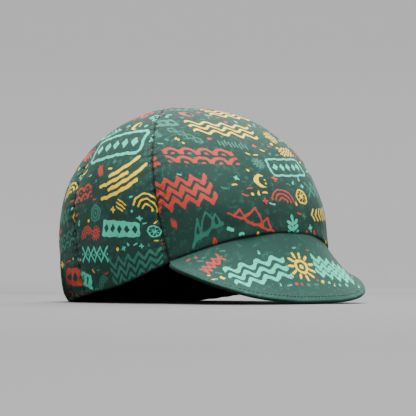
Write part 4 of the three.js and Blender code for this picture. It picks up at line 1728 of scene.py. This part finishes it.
def seam_row(name, side):
    """Centres, directions and outward normals of the row on one side of a seam."""
    fine = np.linspace(SEAM_ROW_FROM, SEAM_ROW_TO, SEAM_ROW_POINTS)
    share = stitch_shares(cloth(beside_seam(name, side, fine), fine))
    rise = SEAM_ROW_FROM + share * (SEAM_ROW_TO - SEAM_ROW_FROM)
    azimuth, above = beside_seam(name, side, rise), rise + ROW_STEPS
    here = cloth(azimuth, rise)
    return here, cloth(beside_seam(name, side, above), above) - here, cloth_normal(azimuth, rise)


seam_rows = [seam_row(name, side) for name in SEAMS for side in (-1, 1)]
print(len(seam_rows), "rows beside seams, with", sum(len(row[0]) for row in seam_rows), "stitches")

# %% Rows inside the peak's edge
PEAK_ROW_IN = 4.5
PEAK_ROW_END = 0.985
PEAK_ROW_POINTS = 1200


def inside_edge(across):
    """Places across and ahead that lie a fixed distance inside the peak's front edge."""
    return across, 1 - PEAK_ROW_IN / peak_reach(across)


def peak_rows():
    """The row inside the peak's front edge: centres, directions and normals on its two faces."""
    fine = np.linspace(-PEAK_ROW_END, PEAK_ROW_END, PEAK_ROW_POINTS)
    share = stitch_shares(peak_point(*inside_edge(fine)))
    across = PEAK_ROW_END * (2 * share - 1)
    above = peak_point(*inside_edge(across))
    along = peak_point(*inside_edge(across + ROW_STEPS)) - above
    out = peak_normal(*inside_edge(across))
    wave = out * peak_wave(above - out * half_thickness)
    below = above - out * PEAK_THICKNESS
    return [(above + wave, along, out), (below + wave, along, -out)]


rows = [*seam_rows, *peak_rows()]
stitches = stitch_mesh("seam_stitches", *[np.concatenate(part) for part in zip(*rows)])
seated(stitches, "crown_cloth")

# %% [markdown]
# ## Stage, light and camera
# The cap lies on a plain pale floor that curves up into a wall all the way round, so that any camera
# sees the same ground. Large soft lamps stand where a photographer's soft boxes would. The camera
# looks at the cap's front and right side, as low as the floor allows.

# %% The floor
FLOOR_RADIUS, COVE_RADIUS, WALL_HEIGHT = 1.95, 0.5, 2.0
FLOOR_SIDES, FLOOR_RINGS, COVE_RINGS = 96, 30, 24


def stage_floor():
    """A flat disc, a quarter-round cove and a wall, turned about the upright axis."""
    angle = np.linspace(0, math.pi / 2, COVE_RINGS)[1:]
    flat = np.linspace(0, FLOOR_RADIUS, FLOOR_RINGS)
    radius = np.concatenate([flat, FLOOR_RADIUS + COVE_RADIUS * np.sin(angle)])
    height = np.concatenate([0 * flat, COVE_RADIUS * (1 - np.cos(angle))])
    radius = np.append(radius, radius[-1])[:, None]
    height = np.append(height, WALL_HEIGHT)[:, None]
    turn = np.arange(FLOOR_SIDES) * 2 * math.pi / FLOOR_SIDES
    points = np.stack([radius * np.cos(turn), radius * np.sin(turn), height + 0 * turn], -1)
    faces = grid_faces(len(radius), FLOOR_SIDES, ring=True)[:, ::-1]
    return mesh_object("studio_floor", points.reshape(-1, 3), [faces], [])


floor = stage_floor()
print(floor.name, "has", len(floor.data.polygons), "faces")

# %% Its paint
# Matt wall paint gives no gloss. It is mixed a little darker under the cap, where the lamps are near,
# so that the whole ground comes out as one even grey.
PAINT_REACH = 3.0
FLOOR_TONES = ((0.8, "#646464"), (1.55, "#848484"), (1.95, "#A4A4A4"), (2.5, "#AEAEAE"))
material, tree, output = fresh_material("matt_paint_pale_grey")
place = add(tree, "ShaderNodeTexCoord")
away = add(tree, "ShaderNodeVectorMath", [(0, place.outputs["Object"])], operation="LENGTH")
share = add(tree, "ShaderNodeMapRange", [("Value", away.outputs["Value"]), ("From Max", PAINT_REACH)])
tone = add(tree, "ShaderNodeValToRGB", [("Fac", share.outputs[0])])
ramp = tone.color_ramp.elements
while len(ramp) < len(FLOOR_TONES):
    ramp.new(0.5)
for stop, (metres, paint_tone) in zip(ramp, FLOOR_TONES):
    stop.position = metres / PAINT_REACH
    stop.color = linear(paint_tone)
paint = add(tree, "ShaderNodeBsdfPrincipled", [("Base Color", tone.outputs[0]), ("Roughness", 0.9)])
tree.links.new(paint.outputs[0], output.inputs[0])
floor.data.materials.append(material)
print(material.name, "has", len(ramp), "tones")

# %% Lamps and the air
LAMP_AIM = (0, 0, 0.06)
LAMPS = (
    ("key_soft_box", (-0.6, -0.8, 1.7), 0.9, 25),
    ("top_soft_box", (0.0, 0.1, 1.9), 1.2, 112),
    ("fill_soft_box", (1.5, -0.7, 0.7), 0.8, 3.6),
    ("back_soft_box", (1.1, 0.75, 1.15), 0.5, 19),
)
for name, place, size, power in LAMPS:
    lamp = bpy.data.lights.new(name, "AREA")
    lamp.shape = "SQUARE"
    lamp.size = size
    lamp.energy = power
    soft_box = bpy.data.objects.new(name, lamp)
    soft_box.location = place
    soft_box.rotation_euler = (Vector(LAMP_AIM) - Vector(place)).to_track_quat("-Z", "Y").to_euler()
    bpy.context.scene.collection.objects.link(soft_box)
world = bpy.data.worlds.new("studio_air")
bpy.context.scene.world = world
world.use_nodes = True
background = world.node_tree.nodes["Background"]
background.inputs["Color"].default_value = linear("#D2D2D2")
background.inputs["Strength"].default_value = 0.7
print(len(LAMPS), "lamps of", sum(lamp[3] for lamp in LAMPS), "W in all")

# %% Camera
AZIMUTH, ELEVATION = -40.0, -2.3
DISTANCE = 1.25
LENS, SENSOR = 150, 36
AIM = np.array([0.0, -0.004, 0.068])
camera_data = bpy.data.cameras.new("photo_camera")
camera_data.lens = LENS
camera_data.sensor_width = SENSOR
camera = bpy.data.objects.new("photo_camera", camera_data)
turn, lift = math.radians(AZIMUTH), math.radians(ELEVATION)
back = np.array([math.sin(turn) * math.cos(lift), -math.cos(turn) * math.cos(lift), math.sin(lift)])
camera.location = AIM + back * DISTANCE
camera.rotation_euler = Vector(back).to_track_quat("Z", "Y").to_euler()
bpy.context.scene.collection.objects.link(camera)
bpy.context.scene.camera = camera
print("the camera stands", round(float(camera.location[2]), 3), "m over the floor")
